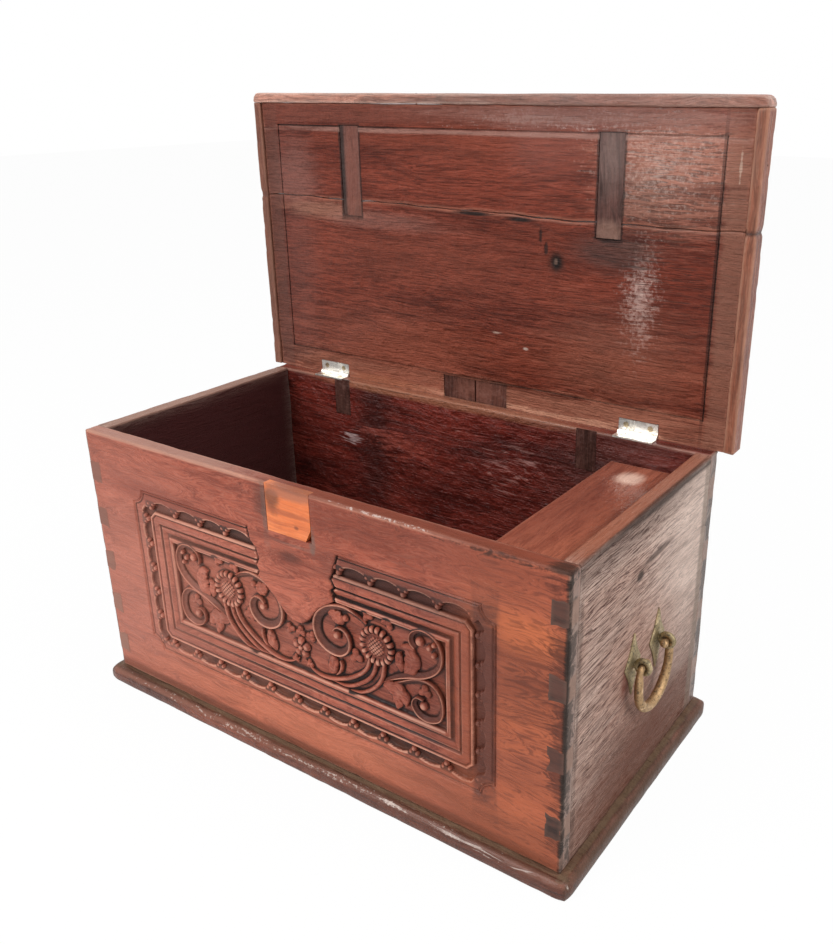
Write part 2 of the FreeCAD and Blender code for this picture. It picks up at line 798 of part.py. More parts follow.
def make_strap_slips():
    """Make the slips in the beds of the older straps and return the beds."""
    beds = []
    upward = ("lid_joint - strap_slip_lap", "lid_high - lid_line_inset")
    for side in ("left", "right"):
        middle = signed(side, "half_width - strap_slip_%s_inset" % side)
        across = (middle + " - strap_slip_width / 2", middle + " + strap_slip_width / 2")
        through = ("lid_face + strap_slip_sink", "lid_face + strap_slip_depth")
        piece(block("strap_slip_" + side, across, through, upward), "lid_slip_" + side)
        bed = ("lid_face - 1", "lid_face + strap_slip_depth")
        beds.append(block("strap_bed_" + side, across, bed, upward))
    return beds


def make_lock_slips():
    """Make the two slips in the bed of the older lock and return the beds."""
    left_end = "lock_slip_divide - lock_slip_spacer / 2"
    left = (left_end + " - lock_slip_left_width", left_end)
    right_end = "lock_slip_divide + lock_slip_spacer / 2"
    right = (right_end, right_end + " + lock_slip_right_width")
    beds = []
    for side, across in (("left", left), ("right", right)):
        through = ("lid_face + lock_slip_sink", "lid_face + lock_slip_depth")
        upward = ("lid_low", "lid_low + lock_slip_height")
        piece(block("lock_slip_" + side, across, through, upward), "lid_lock_slip_" + side)
        bed = ("lid_face - 1", "lid_face + lock_slip_depth")
        beds.append(block("lock_bed_" + side, across, bed, upward))
    return beds


def make_scored_lines():
    """Make the line scored round the lid's inner face."""
    left = "-lid_half_width + lid_line_inset"
    right = "lid_half_width - lid_line_inset"
    low = "lid_low + lid_line_rear_inset"
    high = "lid_high - lid_line_inset"
    through = ("lid_face - 1", "lid_face + lid_line_depth")
    wide = "lid_line_width"
    return [
        block("line_low", (left, right), through, (low, "%s + %s" % (low, wide))),
        block("line_high", (left, right), through, ("%s - %s" % (high, wide), high)),
        block("line_left", (left, "%s + %s" % (left, wide)), through, (low, high)),
        block("line_right", ("%s - %s" % (right, wide), right), through, (low, high)),
    ]


# Handles


def shank_holes(side):
    """Make the holes that the shanks of the eyes pass through an end board by."""
    holes = []
    radius = "eye_shank_radius + eye_hole_clearance"
    start = mirrored(side, "inner_half_width", "half_width")[0]
    for place, y in (("front", "-eye_y"), ("rear", "eye_y")):
        name = "shank_hole_%s_%s" % (side, place)
        holes.append(rod(name, "x", radius, "board_thickness", start, y, "handle_z"))
    return holes


def make_handle(side):
    """Make the plates, eyes, washers and bail at one end."""
    washers = []
    for place, sign in (("front", "-"), ("rear", "")):
        name = "%s_%s" % (side, place)
        y = sign + "eye_y"
        piece(make_plate(side, name, y), "%s_plate_%s" % (side, place))
        piece(make_eye(side, name, y), "%s_eye_%s" % (side, place))
        low = mirrored(side, "washer_face", "inner_half_width")[0]
        disc = rod("washer_disc_" + name, "x", "washer_radius", "washer_thickness", low, y, "handle_z")
        hole = rod(
            "washer_hole_" + name,
            "x",
            "eye_shank_radius + eye_hole_clearance",
            "washer_thickness",
            low,
            y,
            "handle_z",
        )
        washers.append(cut("washer_" + name, disc, [hole]))
    piece(group("washer_group_" + side, washers), side + "_washers")
    piece(make_bail(side), side + "_bail")


def make_plate(side, name, y):
    """Make a kite-shaped plate with the hole for its eye."""
    points = [
        (y, "handle_z - plate_lower_length"),
        (y + " + plate_half_width", "handle_z"),
        (y, "handle_z + plate_upper_length"),
        (y + " - plate_half_width", "handle_z"),
    ]
    offset = mirrored(side, "half_width", "plate_face")[0]
    kite = padded("kite_" + name, "YZ_Plane", points, offset, "plate_thickness")
    radius = "eye_shank_radius + eye_hole_clearance"
    hole = rod("plate_hole_" + name, "x", radius, "plate_thickness", offset, y, "handle_z")
    return cut("plate_" + name, kite, [hole])


def make_eye(side, name, y):
    """Make an eye with its neck, its shank through the wall and its peened end."""
    flat = ALONG["y"]
    place = (signed(side, "eye_x"), y, "handle_z")
    wire = ring("eye_ring_" + name, "eye_ring_radius", "eye_wire_radius", *place, flat)
    neck_ends = mirrored(side, "plate_face", "eye_x - eye_ring_radius")
    neck = rod("eye_neck_" + name, "x", "eye_neck_radius", span(neck_ends), neck_ends[0], y, "handle_z")
    shank_ends = mirrored(side, "peen_face", "plate_face")
    shank = rod("eye_shank_" + name, "x", "eye_shank_radius", span(shank_ends), shank_ends[0], y, "handle_z")
    peen_ends = mirrored(side, "peen_face", "washer_face")
    peen = rod("eye_peen_" + name, "x", "peen_radius", span(peen_ends), peen_ends[0], y, "handle_z")
    return fuse("eye_" + name, [wire, neck, shank, peen])


def span(ends):
    """Return the length between a pair of expressions."""
    return "(%s) - (%s)" % (ends[1], ends[0])


def make_bail(side):
    """Make a hanging bail with legs outside the eyes, a half-round lower bar and knobs inside."""
    x = signed(side, "eye_x")
    low = "handle_z - bail_drop + leg_y"
    pin = rod("bail_pin_" + side, "y", "bail_pin_radius", "2 * leg_y", x, "-leg_y", "handle_z")
    room = ("%s - 20" % x, "%s + 20" % x)
    gap = block("bail_gap_" + side, room, ("-knob_y", "knob_y"), ("handle_z - 20", "handle_z + 20"))
    parts = [cut("bail_ends_" + side, pin, [gap])]
    for place, sign in (("front", "-"), ("rear", "")):
        name = "%s_%s" % (side, place)
        parts.append(ball("bail_elbow_" + name, "bail_bar_radius", x, sign + "leg_y", "handle_z"))
        parts.append(ball("bail_knob_" + name, "bail_bar_radius", x, sign + "knob_y", "handle_z"))
        leg = ("-z", "bail_bar_radius", "bail_drop - leg_y", x, sign + "leg_y", "handle_z")
        parts.append(rod("bail_leg_" + name, *leg))
    lower = FreeCAD.Rotation(FreeCAD.Vector(0, 0, -1), FreeCAD.Vector(0, 1, 0), FreeCAD.Vector(1, 0, 0))
    half = FreeCAD.Rotation(FreeCAD.Vector(1, 0, 0), -90).multiply(lower)
    parts.append(ring("bail_bow_" + side, "leg_y", "bail_bar_radius", x, "0", low, half, 180))
    return fuse("bail_" + side, parts)


# Assembly and export


def check_document():
    """Stop if any object failed or has a bad shape."""
    for item in DOCUMENT.Objects:
        if "Invalid" in item.State or "Error" in item.State:
            raise RuntimeError("object failed: %s" % item.Label)
        if item.isDerivedFrom("Part::Feature") and (item.Shape.isNull() or not item.Shape.isValid()):
            raise RuntimeError("bad shape: %s" % item.Label)


def main():
    """Build every piece, check the document and write one file for each piece."""
    nails = make_base()
    till_parts = make_till()
    beds, screws = make_hinges()
    make_walls(nails, till_parts, beds["lower"], screws["lower"])
    make_lid(beds["upper"], screws["upper"])
    make_handle("right")
    make_handle("left")
    DOCUMENT.recompute()
    check_document()
    os.makedirs("parts", exist_ok=True)
    for item in PIECES:
        item.Shape.exportStep("parts/%s.step" % item.Label)
        box = item.Shape.BoundBox
        size = (len(item.Shape.Solids), box.XMin, box.XMax, box.YMin, box.YMax, box.ZMin, box.ZMax)
        print("%-26s" % item.Label, "%d  x %.1f %.1f  y %.1f %.1f  z %.1f %.1f" % size)


main()
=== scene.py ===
"""Dresses the carved blanket chest: worn boards, relief carving, metalwork, floor, light and camera."""

import logging
import math
from dataclasses import dataclass, field, replace
from enum import Enum
from typing import Callable, Sequence, Union

import bpy
import numpy as np
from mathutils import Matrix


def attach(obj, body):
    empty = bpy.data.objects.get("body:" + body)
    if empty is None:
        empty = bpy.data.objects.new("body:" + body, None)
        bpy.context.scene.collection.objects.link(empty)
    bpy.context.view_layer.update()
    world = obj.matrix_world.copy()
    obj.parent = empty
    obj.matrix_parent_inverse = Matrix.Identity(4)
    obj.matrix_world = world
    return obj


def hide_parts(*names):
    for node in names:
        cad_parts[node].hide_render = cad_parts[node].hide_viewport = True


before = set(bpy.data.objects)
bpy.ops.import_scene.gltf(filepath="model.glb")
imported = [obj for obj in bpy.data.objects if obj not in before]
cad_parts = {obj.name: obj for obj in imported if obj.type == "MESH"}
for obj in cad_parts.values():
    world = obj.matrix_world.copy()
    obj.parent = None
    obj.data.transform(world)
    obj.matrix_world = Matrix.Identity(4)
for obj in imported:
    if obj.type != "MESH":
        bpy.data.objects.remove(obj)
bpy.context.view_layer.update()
LOG = logging.getLogger("chest")
MM = 0.001
TURN = 2.0 * math.pi
WHITE = (1.0, 1.0, 1.0, 1.0)

Array = np.ndarray
Material = bpy.types.Material
Pair = tuple[float, float]
Triple = tuple[float, float, float]
Colour = Triple
Corners = Sequence[Sequence[float]]
Number = Union[float, "Signal"]
Change = Callable[[Array], Array]


class Body(Enum):
    """The bodies that the pieces ride on."""

    CHEST = "chest"
    LID = "lid"
    TILL = "till_cover"
    RIGHT = "right_handle"
    LEFT = "left_handle"


class Grain(Enum):
    """The way that a board's fibres run, as the stretch of its pattern along each axis."""

    ALONG_X = (0.06, 1.0, 1.0)
    ALONG_Y = (1.0, 0.06, 1.0)
    LONG_Y = (1.0, 0.035, 1.0)
    ALONG_Z = (1.0, 1.0, 0.06)


class Spread(Enum):
    """The outline of a mark on a surface."""

    ROUND = "round"
    SQUARE = "square"


class Fray(Enum):
    """The noise that breaks up a mark: clouds, lines along the grain, or specks."""

    CLOUDS = "clouds"
    LINES = "lines"
    SPECKS = "specks"


class Signal:
    """A node's output that takes part in Python sums: values make Math nodes, vectors Vector Math."""

    def __init__(self, recipe: "Recipe", socket: bpy.types.NodeSocket) -> None:
        """Keeps the socket and the recipe that it belongs to."""
        self.recipe = recipe
        self.socket = socket

    def _sum(self, operation: str, first: object, second: object) -> "Signal":
        """Adds one node for an operation on two operands.

        Args:
            operation: the node's operation.
            first: the left operand.
            second: the right operand.

        Returns:
            The node's result.
        """
        kind = "ShaderNodeVectorMath" if self.socket.type == "VECTOR" else "ShaderNodeMath"
        return self.recipe.node(kind, {"operation": operation}, {0: first, 1: second})

    def __add__(self, other: object) -> "Signal":
        """This plus another."""
        return self._sum("ADD", self, other)

    def __radd__(self, other: object) -> "Signal":
        """Another plus this."""
        return self._sum("ADD", other, self)

    def __sub__(self, other: object) -> "Signal":
        """This less another."""
        return self._sum("SUBTRACT", self, other)

    def __rsub__(self, other: object) -> "Signal":
        """Another less this."""
        return self._sum("SUBTRACT", other, self)

    def __mul__(self, other: object) -> "Signal":
        """This times another."""
        return self._sum("MULTIPLY", self, other)

    def __rmul__(self, other: object) -> "Signal":
        """Another times this."""
        return self._sum("MULTIPLY", other, self)

    def __truediv__(self, other: object) -> "Signal":
        """This divided by another."""
        return self._sum("DIVIDE", self, other)

    def __rtruediv__(self, other: object) -> "Signal":
        """Another divided by this."""
        return self._sum("DIVIDE", other, self)

    def larger(self, other: object) -> "Signal":
        """The larger of this and another."""
        return self._sum("MAXIMUM", self, other)

    def smaller(self, other: object) -> "Signal":
        """The smaller of this and another."""
        return self._sum("MINIMUM", self, other)

    def rise(self, low: float, high: float) -> "Signal":
        """Goes smoothly from 0 at low to 1 at high; low may be the larger, for a fall."""
        settings = {"interpolation_type": "SMOOTHSTEP"}
        if low < high:
            return self.recipe.node("ShaderNodeMapRange", settings, {0: self, 1: low, 2: high})
        return 1.0 - self.recipe.node("ShaderNodeMapRange", settings, {0: self, 1: high, 2: low})


@dataclass(frozen=True)
class Noise:
    """A cloudy pattern: its scale, how many finer layers it has, how strong they are, and its bend."""

    scale: float
    detail: float
    rough: float
    bend: float = 0.0


class Recipe:
    """One node tree, from its coordinates to its shader."""

    SHOWN_RAYS = ("Is Camera Ray", "Is Glossy Ray", "Is Transmission Ray")
    MIX_COLOURS = (6, 7)
    MIX_RESULT = 2
    CARRIED_VALUE = 2

    def __init__(self, owner: Union[Material, bpy.types.World]) -> None:
        """Empties the node tree of a new material or world."""
        self.owner = owner
        owner.use_nodes = True
        self.tree = owner.node_tree
        self.tree.nodes.clear()

    def add(self, kind: str, settings: dict, sockets: dict) -> bpy.types.Node:
        """Adds any node.

        Args:
            kind: the node's type.
            settings: its properties, set first.
            sockets: values or links by the socket's name or index.

        Returns:
            The node.
        """
        made = self.tree.nodes.new(kind)
        for key, value in settings.items():
            setattr(made, key, value)
        for key, value in sockets.items():
            if isinstance(value, Signal):
                self.tree.links.new(value.socket, made.inputs[key])
            else:
                made.inputs[key].default_value = value
        return made

    def node(self, kind: str, settings: dict, sockets: dict, out: Union[int, str] = 0) -> Signal:
        """Adds any node and returns the output of that index or name."""
        return Signal(self, self.add(kind, settings, sockets).outputs[out])

    def place(self) -> Signal:
        """The surface point in the chest's own frame, in metres."""
        return self.node("ShaderNodeTexCoord", {}, {}, "Object")

    def parts(self, vector: Signal) -> tuple[Signal, ...]:
        """Splits a vector into its three values."""
        split = self.add("ShaderNodeSeparateXYZ", {}, {0: vector})
        return tuple(Signal(self, output) for output in split.outputs)

    def noise(self, at: Signal, pattern: Noise, times: float = 1.0) -> Signal:
        """A cloudy value between 0 and 1 at a point, at so many times the pattern's own scale."""
        sockets = {
            "Vector": at,
            "Scale": pattern.scale * times,
            "Detail": pattern.detail,
            "Roughness": pattern.rough,
            "Distortion": pattern.bend,
        }
        return self.node("ShaderNodeTexNoise", {}, sockets)

    def mix(self, share: Number, first: object, second: object, way: str = "MIX") -> Signal:
        """Blends two colours by a share between 0 and 1."""
        settings = {"data_type": "RGBA", "blend_type": way, "clamp_factor": True}
        one, two = self.MIX_COLOURS
        sockets = {0: share, one: self._colour(first), two: self._colour(second)}
        return self.node("ShaderNodeMix", settings, sockets, self.MIX_RESULT)

    @staticmethod
    def _colour(value: object) -> object:
        """Gives a plain colour its fourth value and leaves a signal as it is."""
        return value if isinstance(value, Signal) else (*value, 1.0)

    def carried(self, name: str) -> Signal:
        """A value that the mesh carries at its vertices."""
        return self.node("ShaderNodeAttribute", {"attribute_name": name}, {}, self.CARRIED_VALUE)

    def bump(self, height: Signal, depth: float) -> Signal:
        """A normal bent by a height whose full range stands for depth metres."""
        return self.node("ShaderNodeBump", {}, {"Height": height, "Distance": depth, "Strength": 1.0})

    def shown(self) -> Signal:
        """1 for rays that end in the picture straight, by a reflection or through glass, else 0."""
        rays = self.add("ShaderNodeLightPath", {}, {}).outputs
        seen, *others = (Signal(self, rays[name]) for name in self.SHOWN_RAYS)
        for other in others:
            seen = seen.larger(other)
        return seen

    def end(self, shader: Signal, kind: str = "ShaderNodeOutputMaterial") -> None:
        """Ends the tree with a shader."""
        self.add(kind, {}, {"Surface": shader})

    def shade(self, sockets: dict) -> Material:
        """Ends the tree with one principled shader and returns the material."""
        self.end(self.node("ShaderNodeBsdfPrincipled", {}, sockets))
        return self.owner


@dataclass(frozen=True)
class Mark:
    """A stain, chip, filler or worn place, or a painted highlight or shade: where it is, how far it reaches
    in mm, and what it does.
    """

    at: Triple
    reach: Triple
    colour: Colour
    share: float = 0.8
    spread: Spread = Spread.ROUND
    soft: float = 0.45
    ragged: float = 0.5
    dent: float = 0.0
    dry: float = 0.0
    thin: float = 0.0
    fray: Fray = Fray.CLOUDS

    def cover(self, recipe: Recipe, place: Signal, cloud: Signal) -> Signal:
        """The mark's share at a point: full inside its reach, ragged by a cloud, sparse where it is thin.

        Args:
            recipe: the finish that the mark goes into.
            place: the surface point in metres.
            cloud: the noise that frays it.

        Returns:
            A value between 0 and 1.
        """
        offset = place - tuple(value * MM for value in self.at)
        scaled = offset * tuple(1.0 / (value * MM) for value in self.reach)
        if self.spread is Spread.ROUND:
            far = recipe.node("ShaderNodeVectorMath", {"operation": "LENGTH"}, {0: scaled}, "Value")
        else:
            sides = recipe.parts(recipe.node("ShaderNodeVectorMath", {"operation": "ABSOLUTE"}, {0: scaled}))
            far = sides[0].larger(sides[1]).larger(sides[2])
        far = far + self.thin + (cloud - 0.5) * (2.0 * self.ragged)
        return far.rise(1.0 + self.soft, 1.0 - self.soft)


@dataclass(frozen=True)
class Patterns:
    """The patterns of a board's wood at a point."""

    broad: Signal
    band: Signal
    line: Signal
    hair: Signal
    cloud: Signal
    speck: Signal
    lump: Signal


@dataclass(frozen=True)
class Wood:
    """A board's finish: its colours, the run of its grain, its gloss, wear and marks."""

    name: str
    slot: str
    light: Colour
    deep: Colour
    streak: Colour
    worn: Colour
    grain: Grain
    figure: float = 0.5
    wave: float = 0.03
    fibre: float = 0.4
    fine: float = 340.0
    crisp: float = 0.045
    hair: float = 0.12
    mottle: float = 0.3
    rough: float = 0.5
    gloss: float = 0.25
    relief: float = 0.0004
    lumps: float = 0.0
    varnish: float = 0.0
    wear: float = 0.7
    tone: float = 0.0
    hollow: Colour = (0.03, 0.012, 0.01)
    marks: tuple[Mark, ...] = ()

    TONE = (0.80, 0.82, 0.87)
    SWEEP = 0.28
    SWAY = Noise(30.0, 2.0, 0.5)
    BROAD = Noise(14.0, 3.0, 0.55, 1.3)
    BAND = Noise(60.0, 5.0, 0.66, 0.6)
    LINE = Noise(1.0, 2.0, 0.5, 0.3)
    HAIR = Noise(2.3, 2.0, 0.6)
    CLOUD = Noise(40.0, 5.0, 0.68, 0.6)
    SPECK = Noise(320.0, 3.0, 0.6)
    LUMP = Noise(70.0, 3.0, 0.5)
    BROAD_RISE = (0.34, 0.66)
    BAND_RISE = (0.50, 0.64)
    CLOUD_RISE = (0.52, 0.68)
    LINE_MIDDLE = 0.545
    HAIR_MIDDLE = 0.55
    PALE_LINE = (0.46, 0.37)
    PALE_HAIR = (0.46, 0.35)
    RUBBED_RISE = (0.40, 0.95)
    SUNK_RISE = (0.04, 0.74)
    ROUGH_LIMITS = (0.10, 0.95)
    COAT_ROUGHNESS = 0.14

    def _patterns(self, recipe: Recipe, place: Signal) -> Patterns:
        """Lays the patterns: some along the grain, which sways, and some evenly."""
        sweep = place * tuple(self.SWEEP if value < 1.0 else 1.0 for value in self.grain.value)
        run = (place + (recipe.noise(sweep, self.SWAY) - 0.5) * self.wave) * self.grain.value
        return Patterns(
            broad=recipe.noise(sweep, self.BROAD),
            band=recipe.noise(run, self.BAND),
            line=recipe.noise(run, self.LINE, self.fine),
            hair=recipe.noise(run, self.HAIR, self.fine),
            cloud=recipe.noise(sweep, self.CLOUD),
            speck=recipe.noise(place, self.SPECK),
            lump=recipe.noise(place, self.LUMP),
        )

    def _grain(self, recipe: Recipe, seen: Patterns) -> Signal:
        """Colours the bare wood: broad figure, bands and clouds, then dark and pale lines."""
        colour = recipe.mix(seen.broad.rise(*self.BROAD_RISE), self.light, self.deep)
        colour = recipe.mix(seen.band.rise(*self.BAND_RISE) * self.figure, colour, self.streak)
        colour = recipe.mix(seen.cloud.rise(*self.CLOUD_RISE) * self.mottle, colour, self.streak)
        dark = seen.line.rise(self.LINE_MIDDLE - self.crisp, self.LINE_MIDDLE + self.crisp) * 0.7
        dark = dark + seen.hair.rise(self.HAIR_MIDDLE - self.crisp, self.HAIR_MIDDLE + self.crisp) * 0.4
        colour = recipe.mix(dark * self.fibre, colour, self.streak)
        pale = seen.line.rise(*self.PALE_LINE) * 0.5 + seen.hair.rise(*self.PALE_HAIR) * 0.6
        return recipe.mix(pale * self.hair, colour, self.worn)

    def dress(self) -> Material:
        """Makes the material: the grain, then tone, wear, dirt and painted shade in sunk places, and marks
        over it.

        Returns:
            The finished material.
        """
        recipe = Recipe(bpy.data.materials.new(self.name))
        place = recipe.place()
        seen = self._patterns(recipe, place)
        colour = self._grain(recipe, seen)
        if self.tone:
            toned = recipe.carried("toned") * self.tone
            colour = recipe.mix(toned, colour, recipe.mix(1.0, colour, self.TONE, "MULTIPLY"))
        rubbed = (recipe.carried("worn") * (0.5 + seen.cloud)).rise(*self.RUBBED_RISE)
        colour = recipe.mix(rubbed * self.wear, colour, self.worn)
        # Sunk places take the hollow colour: dirt, and in the carving painted shade as well
        colour = recipe.mix(recipe.carried("sunk").rise(*self.SUNK_RISE), colour, self.hollow)
        height = seen.line * 0.5 + seen.band * 0.4 - seen.hair * 0.35 + seen.speck * 0.25
        height = height * self.relief + seen.lump * self.lumps
        rough = self.rough + (seen.cloud - 0.5) * 0.30 + (seen.hair - 0.5) * 0.15 + rubbed * 0.08
        frays = {
            Fray.CLOUDS: seen.band * 0.5 + seen.line * 0.2 + seen.cloud * 0.2 + seen.speck * 0.1,
            Fray.LINES: seen.line,
            Fray.SPECKS: seen.speck * 0.6 + seen.line * 0.4,
        }
        for mark in self.marks:
            cover = mark.cover(recipe, place, frays[mark.fray]) * mark.share
            colour = recipe.mix(cover, colour, mark.colour)
            if mark.dent:
                height = height - cover * (mark.dent * MM)
            if mark.dry:
                rough = rough + cover * mark.dry
        lowest, highest = self.ROUGH_LIMITS
        sockets = {
            "Base Color": colour,
            "Roughness": rough.larger(lowest).smaller(highest),
            "Specular IOR Level": self.gloss,
            "Normal": recipe.bump(height, 1.0),
            "Coat Weight": self.varnish,
            "Coat Roughness": self.COAT_ROUGHNESS,
        }
        return recipe.shade(sockets)


@dataclass(frozen=True)
class Metal:
    """A metal's finish: clean and tarnished colours, and how rough each is."""

    name: str
    slot: str
    clean: Colour
    dull: Colour
    dirt: Colour
    tarnish: float = 0.5
    rough: float = 0.35
    relief: float = 0.00025

    CLOUD = Noise(95.0, 4.0, 0.62, 0.3)
    SPOT = Noise(420.0, 3.0, 0.6)
    SCRATCH = Noise(1500.0, 3.0, 0.6)
    BRUSHED = (1.0, 0.15, 0.6)
    SPOT_RISE = (0.50, 0.68)
    ROUGH_LIMITS = (0.1, 0.9)

    def dress(self) -> Material:
        """Makes the material: tarnish clouds over the metal, with dirt in spots and fine scratches.

        Returns:
            The finished material.
        """
        recipe = Recipe(bpy.data.materials.new(self.name))
        place = recipe.place()
        cloud = recipe.noise(place, self.CLOUD)
        spot = recipe.noise(place, self.SPOT)
        scratch = recipe.noise(place * self.BRUSHED, self.SCRATCH)
        tarnished = cloud.rise(0.62 - 0.5 * self.tarnish, 0.78 - 0.35 * self.tarnish)
        colour = recipe.mix(tarnished, self.clean, self.dull)
        dirty = spot.rise(*self.SPOT_RISE)
        colour = recipe.mix(dirty * (0.35 + 0.6 * self.tarnish), colour, self.dirt)
        rough = self.rough + tarnished * 0.22 + dirty * 0.2 + (scratch - 0.5) * 0.12
        lowest, highest = self.ROUGH_LIMITS
        sockets = {
            "Base Color": colour,
            "Metallic": 1.0 - dirty * (0.5 * self.tarnish),
            "Roughness": rough.larger(lowest).smaller(highest),
            "Normal": recipe.bump(cloud * 0.5 + spot * 0.35 + scratch * 0.15, self.relief),
        }
        return recipe.shade(sockets)


@dataclass
class Shape:
    """A mesh in the making, in mm: points, arrays of faces, and the wear, dirt with painted shade, and tone
    carried at each point.
    """

    points: Array
    faces: list[Array]
    worn: Array = field(default_factory=lambda: np.zeros(0))
    sunk: Array = field(default_factory=lambda: np.zeros(0))
    toned: Array = field(default_factory=lambda: np.zeros(0))

    CARRIED = ("worn", "sunk", "toned")

    def __post_init__(self) -> None:
        """Gives a shape zeros for each carried value that it has none of."""
        for key in self.CARRIED:
            if len(getattr(self, key)) == 0:
                setattr(self, key, np.zeros(len(self.points)))

    @staticmethod
    def joined(shapes: Sequence["Shape"]) -> "Shape":
        """Puts several shapes into one."""
        starts = np.cumsum([0] + [len(shape.points) for shape in shapes[:-1]])
        faces = [face + start for shape, start in zip(shapes, starts) for face in shape.faces]
        carried = [np.concatenate([getattr(shape, key) for shape in shapes]) for key in Shape.CARRIED]
        return Shape(np.concatenate([shape.points for shape in shapes]), faces, *carried)

    def turned(self) -> "Shape":
        """The same shape with every face the other way round."""
        return replace(self, faces=[face[:, ::-1] for face in self.faces])

    def mirrored(self) -> "Shape":
        """The shape on the other side of the middle plane, with its faces turned to suit."""
        return replace(self.turned(), points=self.points * (-1.0, 1.0, 1.0))

    def on_side(self, side: int) -> "Shape":
        """The shape as it is for the right side, 1, and mirrored for the left one, -1."""
        return self if side > 0 else self.mirrored()

    def outward(self) -> "Shape":
        """Turns every face round if the closed shape's volume, summed over fans, comes out negative."""
        volume = 0.0
        middle = self.points.mean(0)
        for face in self.faces:
            corner = self.points[face] - middle
            for step in range(1, face.shape[1] - 1):
                volume += np.einsum("ij,ij->", corner[:, 0], np.cross(corner[:, step], corner[:, step + 1]))
        return self.turned() if volume < 0 else self

    def mesh(self, name: str, sharp: float) -> bpy.types.Mesh:
        """Writes the arrays into a mesh, smooth except at edges sharper than an angle.

        Args:
            name: the mesh's name.
            sharp: the angle in degrees from which an edge stays crisp.

        Returns:
            The mesh, in metres.
        """
        sizes = np.concatenate([np.full(len(face), face.shape[1]) for face in self.faces])
        corners = np.concatenate([face.ravel() for face in self.faces])
        mesh = bpy.data.meshes.new(name)
        mesh.vertices.add(len(self.points))
        mesh.vertices.foreach_set("co", (self.points * MM).astype(np.float32).ravel())
        mesh.loops.add(len(corners))
        mesh.loops.foreach_set("vertex_index", corners.astype(np.int32))
        mesh.polygons.add(len(sizes))
        starts = np.concatenate([[0], np.cumsum(sizes)[:-1]])
        mesh.polygons.foreach_set("loop_start", starts.astype(np.int32))
        mesh.update(calc_edges=True)
        for key in self.CARRIED:
            values = getattr(self, key).astype(np.float32)
            mesh.attributes.new(key, "FLOAT", "POINT").data.foreach_set("value", values)
        mesh.validate()
        mesh.shade_smooth()
        mesh.set_sharp_from_angle(angle=math.radians(sharp))
        return mesh


def soften(values: Array, passes: int) -> Array:
    """Smooths a grid by passes of a mean over each entry and its neighbours, along both axes."""
    for _ in range(passes):
        for axis in (0, 1):
            wide = np.pad(values, [(1, 1) if axis == other else (0, 0) for other in (0, 1)], "edge")
            count = values.shape[axis]
            values = sum(np.take(wide, np.arange(start, start + count), axis) for start in range(3)) / 3.0
    return values


def cells(grid: Array) -> Array:
    """The quads between neighbouring entries of a grid of point numbers."""
    corners = (grid[:-1, :-1], grid[1:, :-1], grid[1:, 1:], grid[:-1, 1:])
    return np.stack(corners, -1).reshape(-1, 4)


def stacked(across: Array, deep: Array, up: Array) -> Array:
    """Points from their three coordinates, each spread to the common shape."""
    return np.stack(np.broadcast_arrays(across, deep, up), -1)


def unit(values: Array) -> Array:
    """Holds values between 0 and 1."""
    return np.clip(values, 0.0, 1.0)


def ease(values: Array, low: float, high: float) -> Array:
    """Goes smoothly from 0 at low to 1 at high."""
    share = unit((values - low) / (high - low))
    return share * share * (3.0 - 2.0 * share)


def bell(values: Array, middle: float, width: float) -> Array:
    """A smooth hump of height 1 round a middle."""
    return np.exp(-(((values - middle) / width) ** 2))


def dome(share: Array) -> Array:
    """The height of a half ball of radius 1 at a share of its radius, and 0 beyond it."""
    return np.sqrt(unit(1.0 - share**2))


def circle(count: int) -> Array:
    """Angles once round, evenly spaced."""
    return np.linspace(0.0, TURN, count, endpoint=False)


def rings(count: int) -> Array:
    """Shares of a radius from near the middle to the rim, as a column."""
    return np.linspace(0.04, 1.0, count)[:, None]


class Ripple:
    """A smooth uneven field: seeded sine waves of one rough length, running every way."""

    LENGTHS = (0.6, 1.7)

    def __init__(self, seed: int, length: float, count: int = 9) -> None:
        """Draws the waves' directions, lengths and phases.

        Args:
            seed: the seed of the draw.
            length: the usual wavelength in mm.
            count: how many waves are added.
        """
        draw = np.random.default_rng(seed)
        ways = draw.normal(size=(count, 3))
        ways /= np.linalg.norm(ways, axis=1, keepdims=True)
        self.waves = ways * (TURN / (length * draw.uniform(*self.LENGTHS, (count, 1))))
        self.phases = draw.uniform(0.0, TURN, count)

    def at(self, points: Array) -> Array:
        """The field at each point of an array of any shape, mostly between -1 and 1."""
        sums = np.sin(points.reshape(-1, 3) @ self.waves.T + self.phases).sum(1)
        return (sums / math.sqrt(2.0 * len(self.phases))).reshape(points.shape[:-1])


@dataclass(frozen=True)
class Pocket:
    """A bed sunk into one face of a board: the face, a rectangle on it and a depth, in mm."""

    axis: int
    side: int
    low: Pair
    high: Pair
    depth: float
    dirt: float = 0.0


